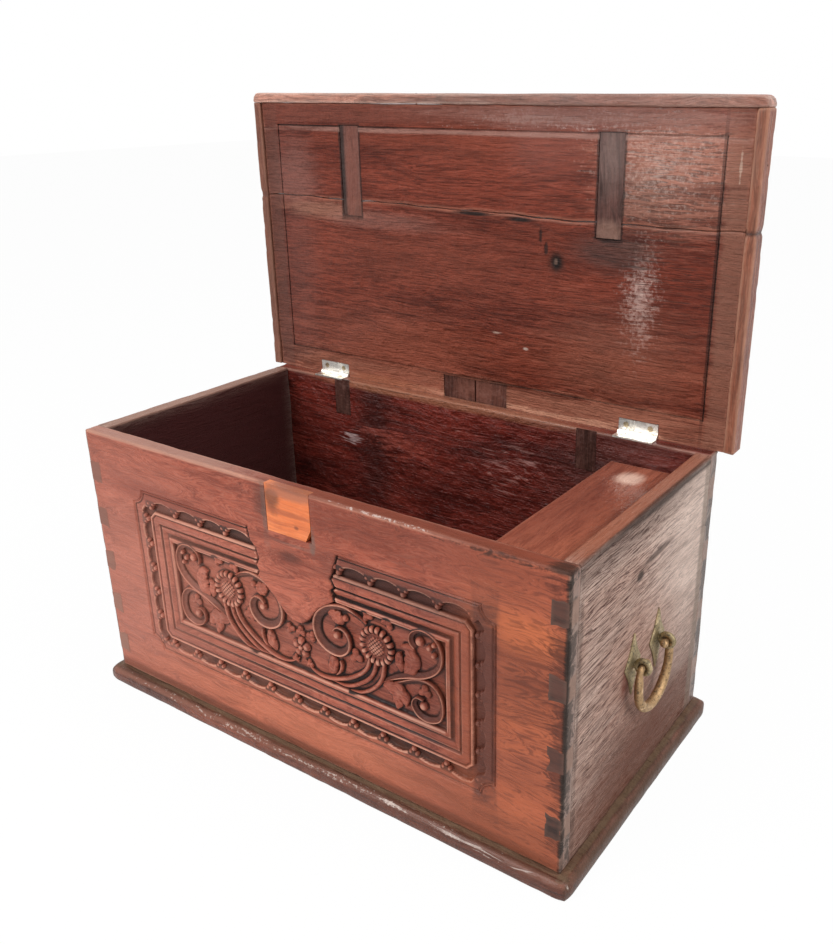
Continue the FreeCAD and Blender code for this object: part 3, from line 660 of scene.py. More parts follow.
@dataclass(frozen=True)
class Board:
    """A worn board: a box whose lattice is drawn in to round its edges, then rippled and chipped."""

    low: Triple
    high: Triple
    radius: float = 1.4
    spacing: float = 10.0
    ripple: float = 0.12
    chips: float = 0.7
    seed: int = 1
    pockets: tuple[Pocket, ...] = ()

    RIM = (1.6, 4.0, 8.0)
    ROUND = (0.0, 0.3, 0.65, 1.0)
    MOST_ROUND = 0.45
    STEP = 0.06
    WORN_REACH = 7.0
    CHIP_REACH = 3.0
    CHIP_LENGTH = 17.0
    CHIP_FROM = 0.25
    CHIP_SEED = 50
    RIPPLE_LENGTH = 90.0
    MOST_PROUD = 0.35

    def _lines(self, axis: int) -> Array:
        """The lattice lines along an axis: close at the edges, even between, and at each pocket."""
        low, high = self.low[axis], self.high[axis]
        radius = min(self.radius, self.MOST_ROUND * (high - low))
        rim = [radius * share for share in self.ROUND]
        rim += [radius + gap for gap in self.RIM if radius + gap < 0.5 * (high - low)]
        lines = [low + gap for gap in rim] + [high - gap for gap in rim]
        count = max(2, round((high - low - 2 * rim[-1]) / self.spacing) + 1)
        lines += list(np.linspace(low + rim[-1], high - rim[-1], count))
        for pocket in self.pockets:
            others = [other for other in range(3) if other != pocket.axis]
            if axis in others:
                place = others.index(axis)
                for edge in (pocket.low[place], pocket.high[place]):
                    lines += [edge - self.STEP, edge + self.STEP]
        kept = np.unique(np.round(lines, 3))
        return kept[(kept >= low) & (kept <= high)]

    def shape(self, bend: Change | None = None, square: Change | None = None) -> Shape:
        """Builds the board.

        Each surface point of the lattice goes to the nearest point of the box shrunk by the
        radius, plus the radius along the way it came from. Ripples move it along that way.

        Args:
            bend: a last change to the points, for a wandering edge.
            square: tells which lattice points stay where they are, for an edge without wear.

        Returns:
            The closed shape.
        """
        lines = [self._lines(axis) for axis in range(3)]
        count = [len(line) for line in lines]
        skin = np.zeros(count, bool)
        skin[[0, -1]] = skin[:, [0, -1]] = skin[:, :, [0, -1]] = True
        number = np.full(count, -1)
        number[skin] = np.arange(skin.sum())
        spots = np.argwhere(skin)
        flat = np.stack([lines[axis][spots[:, axis]] for axis in range(3)], 1)
        faces = []
        for axis in range(3):
            for end, turned in ((0, axis != 1), (count[axis] - 1, axis == 1)):
                quads = cells(np.take(number, end, axis=axis))
                faces.append(quads[:, ::-1] if turned else quads)
        low, high = np.array(self.low), np.array(self.high)
        radius = np.minimum(self.radius, self.MOST_ROUND * (high - low).min())
        core = np.clip(flat, low + radius, high - radius)
        way = flat - core
        way /= np.linalg.norm(way, axis=1, keepdims=True)
        points = core + way * radius
        near = np.sort(np.minimum(flat - low, high - flat), axis=1)[:, 1]
        worn = unit(1.0 - near / self.WORN_REACH)
        sunk = np.zeros(len(points))
        chip = unit(Ripple(self.seed + self.CHIP_SEED, self.CHIP_LENGTH).at(points) - self.CHIP_FROM)
        chip = self.chips * chip * unit(1.0 - near / self.CHIP_REACH)
        move = self.ripple * Ripple(self.seed, self.RIPPLE_LENGTH).at(points) - chip
        points = points + way * np.minimum(move, self.MOST_PROUD)[:, None]
        if square is not None:
            held = square(flat)
            points[held] = flat[held]
        for pocket in self.pockets:
            face = self.low[pocket.axis] if pocket.side < 0 else self.high[pocket.axis]
            others = [other for other in range(3) if other != pocket.axis]
            inside = np.abs(flat[:, pocket.axis] - face) < 1e-6
            for place, other in enumerate(others):
                inside &= (flat[:, other] > pocket.low[place]) & (flat[:, other] < pocket.high[place])
            points[inside, pocket.axis] -= pocket.side * pocket.depth
            sunk[inside] = np.maximum(sunk[inside], pocket.dirt)
        return Shape(points if bend is None else bend(points), faces, worn, sunk)


def smooth_path(corners: Corners, count: int) -> Array:
    """A path through corners by cubic pieces whose slopes join the neighbours, evenly spaced.

    Args:
        corners: the points that it passes through.
        count: how many points are given back.

    Returns:
        The path's points.
    """
    given = np.asarray(corners, float)
    padded = np.concatenate([2 * given[:1] - given[1:2], given, 2 * given[-1:] - given[-2:-1]])
    along = np.linspace(0.0, len(given) - 1.0, 12 * len(given))
    piece = np.minimum(along.astype(int), len(given) - 2)
    share = (along - piece)[:, None]
    before, start, end, after = (padded[piece + step] for step in range(4))
    slope = end - before
    curve = 2 * start + slope * share + (2 * before - 5 * start + 4 * end - after) * share**2
    curve = 0.5 * (curve + (3 * start - before - 3 * end + after) * share**3)
    run = np.concatenate([[0.0], np.cumsum(np.linalg.norm(np.diff(curve, axis=0), axis=1))])
    even = np.linspace(0.0, run[-1], count)
    return np.stack([np.interp(even, run, curve[:, axis]) for axis in range(curve.shape[1])], 1)


def capped_tube(grid: Array, worn: Array | None = None) -> Shape:
    """Closes rows of points into a tube with flat ends.

    Args:
        grid: rows along the tube, points round it, and three coordinates.
        worn: the wear at each point, in the same rows.

    Returns:
        The closed shape with its faces outwards.
    """
    rows, round_, _ = grid.shape
    number = np.arange(rows * round_).reshape(rows, round_)
    skin = cells(np.concatenate([number, number[:, :1]], 1))
    ends = [number[:1, ::-1], number[-1:, :]]
    carried = np.zeros(0) if worn is None else worn.ravel()
    return Shape(grid.reshape(-1, 3), [skin, *ends], carried).outward()


@dataclass(frozen=True)
class Relief:
    """The ground that the carved ornament stands on, and how it is turned into the chest's frame."""

    face: float = -156.0
    lift_base: float = 18.0
    ground: float = 6.0
    root: float = 1.2

    # Rubbed from a height, over a span, up to a share; dirt and painted shade at the ground and how fast
    # they fade
    RUBBED = (2.4, 2.8, 0.8)
    DIRT_AND_SHADE = (0.9, 2.9)
    BEAD_GRID = (6, 14)
    LEAF_GRID = (46, 13)
    STEM_THIN = 0.35
    # Across a stalk: place and height
    STEM = (
        (-1.0, 0.35), (-0.82, 0.8), (-0.45, 0.97), (0.0, 1.0), (0.45, 0.97), (0.82, 0.8), (1.0, 0.35),
    )
    # Across a volute, from its outer to its inner side: place, height, and dirt with painted shade
    SCROLL = (
        (-1.0, 0.30, 0.5), (-0.93, 0.88, 0.0), (-0.74, 1.0, 0.0), (-0.55, 0.94, 0.1), (-0.42, 0.66, 0.45),
        (0.0, 0.52, 0.5), (0.5, 0.42, 0.5), (0.85, 0.36, 0.55), (1.0, 0.16, 0.7),
    )

    def points(self, across: Array, up: Array, lift: Array) -> Array:
        """Places panel coordinates, with lift above the sunk ground, in the chest's frame."""
        return stacked(across, self.face + self.ground - lift, up + self.lift_base)

    def carve(self, across: Array, up: Array, lift: Array, dirt: Array | None) -> Shape:
        """Closes rows of places into a carved shape, rubbed where it is high and darkened with dirt and
        painted shade where it is low.

        Args:
            across: the places along the panel.
            up: the places above the board's lower edge.
            lift: their heights above the ground.
            dirt: further dirt and painted shade there, if any.

        Returns:
            The closed shape.
        """
        worn = unit((lift - self.RUBBED[0]) / self.RUBBED[1]) * self.RUBBED[2]
        made = capped_tube(self.points(across, up, lift), worn)
        made.sunk = np.clip(self.DIRT_AND_SHADE[0] - lift.ravel() / self.DIRT_AND_SHADE[1], 0.0, self.DIRT_AND_SHADE[0])
        if dirt is not None:
            made.sunk = np.maximum(made.sunk, dirt.ravel())
        made.toned = np.ones(len(made.points))
        return made

    def strip(self, path: Array, wide: Array, lift: Array, dirt: Array | None = None) -> Shape:
        """A carved strip along a path: each row spreads across the path's normal and dips at its edges.

        Args:
            path: the middle line on the panel, in mm.
            wide: for each row and column, the offset along the normal.
            lift: for each row and column, the height above the ground.
            dirt: for each column, the dirt and painted shade there.

        Returns:
            The closed strip, rooted in the ground.
        """
        slope = np.gradient(path, axis=0)
        slope /= np.linalg.norm(slope, axis=1, keepdims=True) + 1e-9
        normal = np.stack([-slope[:, 1], slope[:, 0]], 1)
        wide = np.concatenate([wide[:, :1], wide, wide[:, -1:]], 1)
        lift = np.pad(lift, ((0, 0), (1, 1)), constant_values=-self.root)
        across = path[:, :1] + normal[:, :1] * wide
        up = path[:, 1:] + normal[:, 1:] * wide
        spread = None if dirt is None else np.tile(np.pad(dirt, 1, "edge"), (len(path), 1))
        return self.carve(across, up, lift, spread)

    def rosette(
        self, middle: Pair, rim: Array, lift: Array, spin: float = 0.0, dirt: Array | None = None
    ) -> Shape:
        """A round ornament on polar rings: each ring is a share of the rim's radius at its angle.

        Args:
            middle: the centre on the panel.
            rim: the outer radius at each angle.
            lift: the height for each ring and angle, the first ring being the centre.
            spin: the turn of the whole, in radians.
            dirt: the dirt and painted shade for each ring and angle.

        Returns:
            The closed shape, rooted in the ground.
        """
        count, spokes = lift.shape
        angle = circle(spokes) + spin
        share = rings(count)
        across = middle[0] + share * rim * np.cos(angle)
        up = middle[1] + share * rim * np.sin(angle)
        across, up = (np.concatenate([rows, rows[-1:]]) for rows in (across, up))
        lift = np.concatenate([lift, np.full((1, spokes), -self.root)])
        return self.carve(across, up, lift, None if dirt is None else np.concatenate([dirt, dirt[-1:]]))

    def bead(self, middle: Pair, radius: float, top: float) -> Shape:
        """A round bead: a low dome, high in the middle and falling as a circle does."""
        count, spokes = self.BEAD_GRID
        lift = top * (0.25 + 0.75 * dome(rings(count))) * np.ones((1, spokes))
        return self.rosette(middle, np.full(spokes, radius), lift)

    def stem(self, corners: Corners, width: float, top: float) -> Shape:
        """A stalk: a rounded strip that thins towards its first end."""
        path = smooth_path(corners, 14 * len(corners))
        along = np.linspace(0.0, 1.0, len(path))[:, None]
        span, crown = np.array(self.STEM).T[:, None, :]
        thin = self.STEM_THIN + (1.0 - self.STEM_THIN) * ease(along, 0.0, 0.5)
        half = 0.5 * width * thin * (1.0 - 0.5 * ease(along, 0.93, 1.0))
        return self.strip(path, half * span, top * crown * (0.5 + 0.5 * ease(along, 0.0, 0.25)))

    def scroll(self, corners: Corners, width: float, top: float, inner: int) -> Shape:
        """A volute: a band with a raised rim on its outer side and a slope down to its inner side.

        Args:
            corners: the points that its middle line passes through, from the stalk inwards.
            width: the band's widest, in mm.
            top: the rim's height above the ground.
            inner: 1 if the inner side lies to the left of the run, else -1.

        Returns:
            The closed band.
        """
        path = smooth_path(corners, 13 * len(corners))
        along = np.linspace(0.0, 1.0, len(path))[:, None]
        span, crown, dirt = np.array(self.SCROLL).T[:, None, :]
        half = 0.5 * width * (0.42 + 0.58 * np.sin(math.pi * unit(along * 0.95 + 0.02)) ** 0.8)
        lift = top * crown * (0.55 + 0.45 * ease(along, 0.0, 0.15))
        return self.strip(path, inner * half * span, lift, dirt[0])

    def leaf(self, corners: Corners, width: float, top: float, lobes: float, lean: float = 0.0) -> Shape:
        """A carved leaf: a strip that swells and closes, with scalloped edges and a vein in each lobe.

        Args:
            corners: the points that its rib passes through, from the stalk to the tip.
            width: its widest, in mm.
            top: its height above the ground.
            lobes: how many lobes stand along each edge.
            lean: how far one side is fuller than the other, from -1 to 1.

        Returns:
            The closed leaf.
        """
        rows, columns = self.LEAF_GRID
        path = smooth_path(corners, rows)
        along = np.linspace(0.0, 1.0, rows)[:, None]
        span = np.linspace(-1.0, 1.0, columns)[None, :]
        out = np.abs(span)
        swell = np.sin(math.pi * unit(along) ** 0.85) ** 0.7
        wave = np.abs(np.sin(math.pi * lobes * along))
        half = 0.5 * width * (0.10 + swell * (0.68 + 0.32 * wave)) * (1.0 - 0.55 * ease(along, 0.86, 1.0))
        side = 1.0 + lean * np.sign(span)
        vein = 0.5 + 0.5 * np.cos(TURN * (lobes * along + 0.5 - 0.55 * out))
        lift = 0.62 + 0.30 * vein * out**0.6 + 0.18 * bell(span, 0.0, 0.16) - 0.42 * out**5
        lift = top * np.clip(lift, 0.1, 1.2) * (0.6 + 0.4 * ease(along, 0.0, 0.3))
        return self.strip(path, half * span * side, lift)

    def trefoil(self, middle: Pair, size: float, top: float, turn: float) -> Shape:
        """A small leaf of three round lobes on a short stalk, turned by an angle in degrees."""
        angle = circle(30)
        rim = size * (0.62 + 0.38 * np.abs(np.cos(1.5 * angle)) ** 0.7)
        rim = rim * np.where(np.cos(angle) < -0.75, 0.9, 1.0)
        share = rings(7)
        groove = 0.22 * np.cos(3.0 * angle)[None, :] * share
        lift = top * (0.72 + groove - 0.45 * share**4)
        return self.rosette(middle, rim, lift, math.radians(turn))


def daisy(relief: Relief, middle: Pair, size: float, petals: int) -> Shape:
    """The large flower: a cross-hatched boss in a dish, inside a ring of short round petals.

    The boss is a dome cut by two crossed sets of grooves. A petal's height and reach follow the
    size of a cosine round the ring, so that each petal is full in its middle and cut at its sides.
    """
    angle = circle(petals * 8)[None, :]
    share = rings(34)
    round_ = np.abs(np.cos(0.5 * petals * angle))
    rim = size * (0.86 + 0.14 * round_[0] ** 0.6)
    across = share * rim * np.cos(angle)
    up = share * rim * np.sin(angle)
    pitch = size / 4.6
    slants = [np.abs(np.sin(math.pi * slant / pitch)) for slant in (across + up, across - up)]
    cut = 1.0 - ease(np.minimum(*slants), 0.1, 0.5)
    boss = 3.9 + 1.2 * dome(share / 0.50) - 0.8 * cut
    dish = 3.3 - 0.7 * np.sin(math.pi * unit((share - 0.48) / 0.22))
    crown = np.sin(math.pi * unit((share - 0.66) / 0.36)) ** 0.5
    petal = 2.0 + 3.4 * round_**0.6 * crown
    lift = np.where(share < 0.48, boss, np.where(share < 0.70, dish, petal))
    # Dirt and painted shade: the boss's grooves, the dish and the gaps between petals are darkened
    gaps = 0.85 * (1.0 - ease(round_, 0.15, 0.75)) * (share > 0.68)
    dirt = np.where(share < 0.48, 0.75 * cut, np.where(share < 0.70, 0.35, gaps))
    return relief.rosette(middle, rim, lift, 0.0, dirt)


def posy(relief: Relief, middle: Pair, size: float, petals: int) -> Shape:
    """The small flower: five full petals round a bead, their outline following a cosine."""
    angle = circle(petals * 10)[None, :]
    share = rings(16)
    round_ = np.abs(np.cos(0.5 * petals * angle))
    rim = size * (0.62 + 0.38 * round_[0] ** 0.7)
    bowl = np.sin(math.pi * unit((share - 0.24) / 0.76) ** 0.9)
    lift = 2.6 + 2.2 * round_**0.6 * bowl - 0.8 * ease(share, 0.85, 1.0)
    lift = np.where(share < 0.26, 3.6 + 1.5 * dome(share / 0.26), lift)
    # Dirt and painted shade: the gaps between petals and a ring round the bead are darkened
    dirt = 0.8 * (1.0 - ease(round_, 0.1, 0.6)) * (share > 0.28) + 0.6 * bell(share, 0.28, 0.05)
    return relief.rosette(middle, rim, lift, 0.31, dirt)


def placed(name: str, data: bpy.types.ID) -> bpy.types.Object:
    """Puts a new object with its data into the scene."""
    made = bpy.data.objects.new(name, data)
    bpy.context.scene.collection.objects.link(made)
    return made


def add_piece(
    name: str,
    shape: Shape,
    finish: Material,
    body: Body,
    stands_for: Sequence[str] = (),
    sharp: float = 38.0,
) -> bpy.types.Object:
    """Puts a shape into the scene as one piece that rides on a body.

    Args:
        name: the piece's name.
        shape: its mesh in mm.
        finish: its material.
        body: the body that carries it.
        stands_for: the solids that it replaces.
        sharp: the angle in degrees from which its edges stay crisp.

    Returns:
        The object.
    """
    made = placed(name, shape.mesh(name, sharp))
    made.data.materials.append(finish)
    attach(made, body.value)
    if stands_for:
        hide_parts(*stands_for)
    LOG.info("%s: %d points on %s", name, len(shape.points), body.value)
    return made


def dress_nodes(names: Sequence[str], finish: Material) -> None:
    """Gives solids that stay as they are a better finish."""
    for name in names:
        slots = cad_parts[name].data.materials
        slots.clear()
        slots.append(finish)
        LOG.info("%s: kept with %s", name, finish.name)


# Painted shade: the near black of the inner faces of the front and the ends
INSIDE_SHADE = (0.046, 0.0095, 0.0080)
SOOT = (0.016, 0.011, 0.010)
PUTTY = (0.16, 0.125, 0.105)
TAN = (0.20, 0.130, 0.080)
# The middles of the dovetail pins at the right end, 1, and at the left one, -1
PINS = {1: (66.0, 137.3, 208.7, 280.0), -1: (52.0, 106.25, 160.5, 214.75, 269.0)}
LID_FACE = 154.5
LID_MARK_DEPTH = 5


def band(
    at: Triple, reach: Triple, colour: Colour, share: float, soft: float, ragged: float, **more: object
) -> Mark:
    """A mark with straight edges, such as a strip along a board; what else it has is given by name."""
    return Mark(at, reach, colour, share, Spread.SQUARE, soft, ragged, **more)


def corner_marks(side: int, face: int) -> tuple[Mark, ...]:
    """The tails' end grain and the pins' long grain between them, where a long board shows at an end.

    Args:
        side: 1 at the right end and -1 at the left one.
        face: -1 on the front board and 1 on the back board.

    Returns:
        The marks, from the broad ground to the pins.
    """
    place = (side * 300, face * 148, 168)
    ground = (0.3, 0.225, 0.19) if side > 0 else (0.21, 0.155, 0.125)
    made = [band(place, (1.4, 12, 170), ground, 0.9, 0.3, 0.5, dry=0.3)]
    if side > 0:
        streak, grey = (place[0], face * 150, place[2]), (0.06, 0.042, 0.035)
        made.append(band(streak, (1.6, 9, 170), grey, 0.8, 0.3, 3.0, thin=0.35))
    for level in PINS[side]:
        spot = (place[0], place[1], level)
        made.append(band(spot, (1.5, 12, 11.5), (0.3, 0.185, 0.14), 0.8, 0.15, 0.15))
    return tuple(made)


def lid_mark(across: float, up: float, wide: float, tall: float, *looks: object, **more: object) -> Mark:
    """A mark on the lid's inner face: its place and reach there, then a mark's other values."""
    return Mark((across, LID_FACE, up), (wide, LID_MARK_DEPTH, tall), *looks, **more)


FRONT_WOOD = Wood(
    "front wood", "front_wood", (0.475, 0.122, 0.071), (0.33, 0.076, 0.043), (0.1, 0.022, 0.016),
    (0.66, 0.32, 0.225), Grain.ALONG_X, figure=0.5, wave=0.08, fibre=0.42, fine=400.0, hair=0.16,
    mottle=0.34, rough=0.42, gloss=0.14, relief=0.0014, varnish=0.06, wear=0.92, tone=0.55,
    hollow=(0.022, 0.0115, 0.0105),
    marks=(
        # The left end, the lower edge and the worn right end
        Mark((-262, -156, 120), (110, 12, 170), (0.5, 0.2, 0.145), 0.5, soft=0.9, ragged=0.6),
        Mark((20, -156, 46), (230, 12, 26), (0.64, 0.215, 0.115), 0.5, soft=0.9, ragged=1.2),
        Mark((262, -156, 140), (66, 14, 190), (0.6, 0.16, 0.066), 0.72, soft=0.8, ragged=1.0),
        Mark((264, -156, 180), (60, 14, 170), (0.16, 0.04, 0.026), 0.45, soft=1.5, ragged=3.5, thin=0.6),
        Mark((262, -156, 203), (52, 14, 30), (0.1, 0.024, 0.015), 0.55, soft=1.2, ragged=2.5),
        Mark((262, -156, 108), (44, 14, 26), (0.15, 0.042, 0.028), 0.35, soft=1.2, ragged=2.5),
        Mark((262, -156, 251), (46, 14, 16), (0.62, 0.165, 0.06), 0.6, soft=0.7, ragged=2.0),
        band((272, -156, 190), (32, 14, 130), (0.06, 0.016, 0.011), 0.45, 0.9, 4.0, thin=0.8,
             fray=Fray.LINES),
        Mark((262, -156, 300), (60, 14, 24), (0.26, 0.052, 0.032), 0.2, soft=0.6, ragged=2.4),
        band((300, -156, 168), (18, 14, 170), (0.06, 0.018, 0.013), 0.7, 0.4, 3.0, thin=0.3),
        # Border, field and edges
        # Painted shade in the border's hollows down the right side
        band((221, -153, 165), (12, 9, 104), (0.075, 0.028, 0.022), 0.8, 0.35, 0.9),
        Mark((190, -152, 165), (56, 9, 112), (0.13, 0.04, 0.029), 0.32, soft=0.9, ragged=1.2),
        # Painted shade in the top border's hollows, right half
        band((130, -153, 250), (84, 9, 12), (0.09, 0.032, 0.024), 0.55, 0.5, 1.2),
        Mark((-120, -152, 165), (120, 9, 84), (0.62, 0.26, 0.18), 0.16, soft=0.9, ragged=0.8),
        Mark((246, -156, 36), (90, 12, 26), (0.13, 0.042, 0.026), 0.46, soft=1.0, ragged=2.8),
        Mark((150, -156, 300), (140, 12, 18), (0.13, 0.029, 0.018), 0.4, soft=0.4, ragged=3.0),
        Mark((-200, -156, 262), (80, 12, 10), (0.2, 0.046, 0.03), 0.45, soft=0.7, ragged=2.0),
        band((0, -156, 23), (320, 12, 6), (0.13, 0.046, 0.028), 0.7, 0.6, 0.8),
        # Soot and putty round the patch
        Mark((-2, -156, 247), (15, 6, 6), SOOT, 0.6, soft=0.8, ragged=1.6),
        band((-31, -156, 292), (3.0, 6, 34), PUTTY, 0.5, 0.6, 2.2, dry=0.2),
        Mark((-36, -156, 298), (8, 6, 16), (0.06, 0.03, 0.024), 0.5, soft=0.8, ragged=1.6),
        band((0, -156, 260), (26, 6, 1.6), PUTTY, 0.35, 0.6, 2.4, dry=0.2),
        Mark((29, -156, 268), (3.5, 6, 13), PUTTY, 0.6, ragged=1.8, dry=0.2),
        # Corners and top edge
        *corner_marks(1, -1),
        *corner_marks(-1, -1),
        band((300, -156, 168), (3.0, 4, 170), (0.022, 0.014, 0.011), 0.9, 0.5, 1.5, dent=0.6),
        band((-300, -156, 168), (2.4, 4, 170), (0.05, 0.03, 0.024), 0.6, 0.5, 1.5, dent=0.4),
        band((140, -150, 318), (190, 12, 1.8), (0.165, 0.043, 0.025), 0.8, 0.5, 0.9),
        Mark((190, -156, 314), (120, 5, 5), (0.045, 0.02, 0.014), 0.8, soft=0.3, ragged=4.0, thin=0.7),
        band((-190, -150, 318), (130, 12, 1.8), (0.36, 0.19, 0.14), 0.75, 0.5, 0.9),
        # Painted highlights: pale specks for glints along the top edge
        Mark((110, -155, 317), (90, 3, 3), (0.8, 0.68, 0.62), 0.55, soft=0.3, ragged=2.0, thin=0.8,
             fray=Fray.SPECKS),
        Mark((292, -150, 317), (12, 14, 4), (0.03, 0.018, 0.013), 0.8, ragged=1.6),
        # Inner face: painted shade, near black and far darker than the back wall's inner face
        band((0, -139, 170), (300, 1.5, 160), INSIDE_SHADE, 1.0, 0.2, 0.1),
    ),
)
END_WOOD = Wood(
    "end wood", "end_wood", (0.72, 0.515, 0.425), (0.52, 0.33, 0.26), (0.066, 0.021, 0.016),
    (0.7, 0.55, 0.48), Grain.LONG_Y, figure=0.2, wave=0.012, fibre=1.0, fine=860.0, crisp=0.03, hair=0.3,
    mottle=0.15, rough=0.6, gloss=0.08, relief=0.0034, wear=0.3,
    marks=(
        # Painted shade: the end darkens towards the bottom, as light falls from above
        Mark((300, 10, 26), (10, 190, 74), (0.15, 0.044, 0.022), 0.72, soft=0.6, ragged=1.6),
        # Painted sheen: lighter high up towards the rear
        Mark((300, 110, 240), (10, 80, 110), (0.88, 0.71, 0.62), 0.55, soft=0.9, ragged=1.6),
        # Dirt and painted shadow round the handle's plates
        Mark((300, 0, 150), (10, 66, 56), (0.52, 0.265, 0.19), 0.3, soft=0.7, ragged=1.4),
        Mark((300, -6, 128), (10, 38, 20), (0.24, 0.085, 0.056), 0.1, soft=0.7, ragged=1.6),
        Mark((300, -40, 152), (10, 9, 18), (0.16, 0.03, 0.016), 0.7, soft=0.7, ragged=1.0),
        Mark((300, 40, 60), (10, 160, 90), (0.06, 0.018, 0.012), 0.4, soft=0.3, ragged=3.5, thin=0.6,
             fray=Fray.LINES),
        Mark((300, -22, 255.5), (4, 7, 5), (0.03, 0.02, 0.016), 0.8, ragged=0.8, dent=0.6),
        Mark((300, 16, 263), (4, 34, 3.4), (0.04, 0.022, 0.018), 0.7, ragged=1.4, dent=0.4),
        Mark((300, -40, 302), (5, 110, 11), (0.065, 0.034, 0.026), 0.5, soft=0.7, ragged=2.4),
        band((300, 134, 170), (4, 7, 160), (0.27, 0.21, 0.17), 0.7, 0.5, 0.9),
        band((300, -136, 170), (4, 4, 160), (0.05, 0.034, 0.028), 0.5, 0.6, 3.0, thin=0.3),
        # Painted shade: darker towards the bottom, as on the right end
        Mark((-300, 10, 30), (10, 190, 80), (0.11, 0.038, 0.025), 0.7, soft=0.8, ragged=1.0),
        # Dirt and painted shadow round the handle, as on the right end
        Mark((-300, 0, 150), (10, 66, 56), (0.15, 0.046, 0.032), 0.55, soft=0.7, ragged=1.0),
        band((-300, 134, 170), (4, 7, 160), (0.27, 0.21, 0.17), 0.7, 0.5, 0.9),
        band((-300, -136, 170), (4, 4, 160), (0.05, 0.034, 0.028), 0.7, 0.6, 1.4),
        # Inner faces: painted shade, much darker than the back wall's inner face
        band((-283, 0, 170), (1.8, 150, 160), (0.074, 0.021, 0.02), 1.0, 0.2, 0.1, dry=-0.2),
        band((283, 0, 170), (1.8, 150, 160), INSIDE_SHADE, 1.0, 0.2, 0.1, dry=-0.2),
        band((291, 0, 318), (9, 150, 2.2), (0.34, 0.112, 0.062), 0.9, 0.3, 0.6, dry=-0.25),
        band((-291, 0, 318), (9, 150, 2.2), (0.36, 0.2, 0.15), 0.9, 0.3, 0.6, dry=-0.2),
        band((300, -20, 316), (2.8, 140, 5), (0.026, 0.014, 0.011), 0.8, 0.6, 1.6, dent=0.5),
    ),
)
PIN_WOOD = Wood(
    "pin end grain", "end_wood", (0.09, 0.046, 0.034), (0.055, 0.028, 0.021), (0.022, 0.012, 0.01),
    (0.18, 0.1, 0.075), Grain.ALONG_X, figure=0.4, fibre=0.3, mottle=0.6, rough=0.55, relief=0.0008,
    wear=0.3,
    marks=(
        Mark((-292, -156, 190), (24, 12, 200), (0.3, 0.125, 0.09), 0.72, soft=0.6, ragged=2.0),
        Mark((-292, -156, 70), (24, 12, 90), (0.34, 0.165, 0.12), 0.65, soft=0.6, ragged=2.0),
        Mark((291, -156, 170), (9, 12, 180), (0.11, 0.036, 0.024), 0.6, soft=0.7, ragged=3.0, thin=0.3),
    ),
)
BACK_WOOD = Wood(
    "back wood", "back_wood", (0.225, 0.031, 0.0205), (0.13, 0.0165, 0.0115), (0.034, 0.007, 0.006),
    (0.4, 0.2, 0.15), Grain.ALONG_X, figure=0.5, fibre=0.45, hair=0.08, mottle=0.4, rough=0.26,
    gloss=0.14, relief=0.0036, lumps=0.007, varnish=0.3, wear=0.7,
    marks=(
        Mark((190, 139, 250), (60, 4, 90), (0.066, 0.037, 0.033), 0.6, soft=0.9, ragged=1.2),
        Mark((-140, 139, 250), (22, 4, 90), (0.03, 0.012, 0.011), 0.6, soft=0.9, ragged=1.2),
        # Painted highlights: pale streaks for glints on the inner face's varnish
        Mark((-178, 139, 240), (26, 4, 20), (0.8, 0.62, 0.6), 0.5, soft=0.3, ragged=2.2, thin=0.8,
             fray=Fray.LINES),
        Mark((60, 139, 250), (90, 4, 50), (0.5, 0.26, 0.23), 0.4, soft=0.3, ragged=2.4, thin=1.1,
             fray=Fray.LINES),
        Mark((-100, 139, 250), (70, 4, 50), (0.45, 0.1, 0.07), 0.5, soft=0.3, ragged=3.0, thin=0.7),
        band((0, 156, 168), (310, 2, 160), (0.17, 0.075, 0.052), 0.8, 0.3, 0.3, dry=0.3),
        *corner_marks(1, 1),
        *corner_marks(-1, 1),
        band((-60, 139, 316), (150, 3, 5), (0.4, 0.155, 0.085), 0.75, 0.6, 1.1),
        band((-60, 146, 318), (180, 12, 1.8), (0.36, 0.145, 0.085), 0.8, 0.5, 0.7),
    ),
)
BASE_WOOD = Wood(
    "base wood", "base_wood", (0.26, 0.072, 0.038), (0.15, 0.042, 0.023), (0.03, 0.013, 0.01),
    (0.25, 0.105, 0.07), Grain.ALONG_X, figure=0.5, fibre=0.5, mottle=0.5, rough=0.34, gloss=0.16,
    relief=0.0034, lumps=0.004, varnish=0.22, wear=0.75,
    marks=(
        band((0, -160, 18), (312, 5.5, 1.8), (0.075, 0.04, 0.024), 0.7, 0.5, 1.0, dry=0.3),
        band((0, -157.5, 18), (312, 2.6, 2.0), TAN, 0.7, 0.6, 1.4, dry=0.35),
        band((307, 0, 18), (6.5, 160, 1.8), (0.08, 0.044, 0.025), 0.7, 0.5, 0.9, dry=0.3),
        band((303, 0, 18), (3.0, 160, 2.0), TAN, 0.8, 0.5, 1.2, dry=0.35),
        band((-305, 0, 18), (4.5, 160, 1.8), TAN, 0.6, 0.5, 0.9, dry=0.35),
        band((316, 0, 8), (7, 180, 12), (0.072, 0.038, 0.02), 0.8, 0.4, 0.6, dry=0.2),
        band((-316, 0, 8), (9, 180, 12), (0.06, 0.045, 0.036), 0.75, 0.4, 0.6, dry=0.2),
        Mark((190, -168, 8), (150, 6, 13), (0.07, 0.03, 0.021), 0.5, soft=0.7, ragged=1.8),
        # Painted highlights: pale specks and streaks for glints along the nose
        band((0, -166, 14), (312, 5, 3.5), (0.8, 0.68, 0.6), 0.5, 0.3, 3.4, thin=1.1, fray=Fray.SPECKS),
        band((205, -166.5, 13.5), (110, 4, 2.4), (0.8, 0.68, 0.61), 0.5, 0.4, 4.0, thin=1.1,
             fray=Fray.LINES),
        band((0, 0, 18), (270, 128, 2), (0.05, 0.018, 0.014), 0.9, 0.1, 0.2, dry=0.3),
        band((0, 0, -1), (330, 180, 2), (0.22, 0.155, 0.115), 0.8, 0.1, 0.2, dry=0.4),
    ),
)
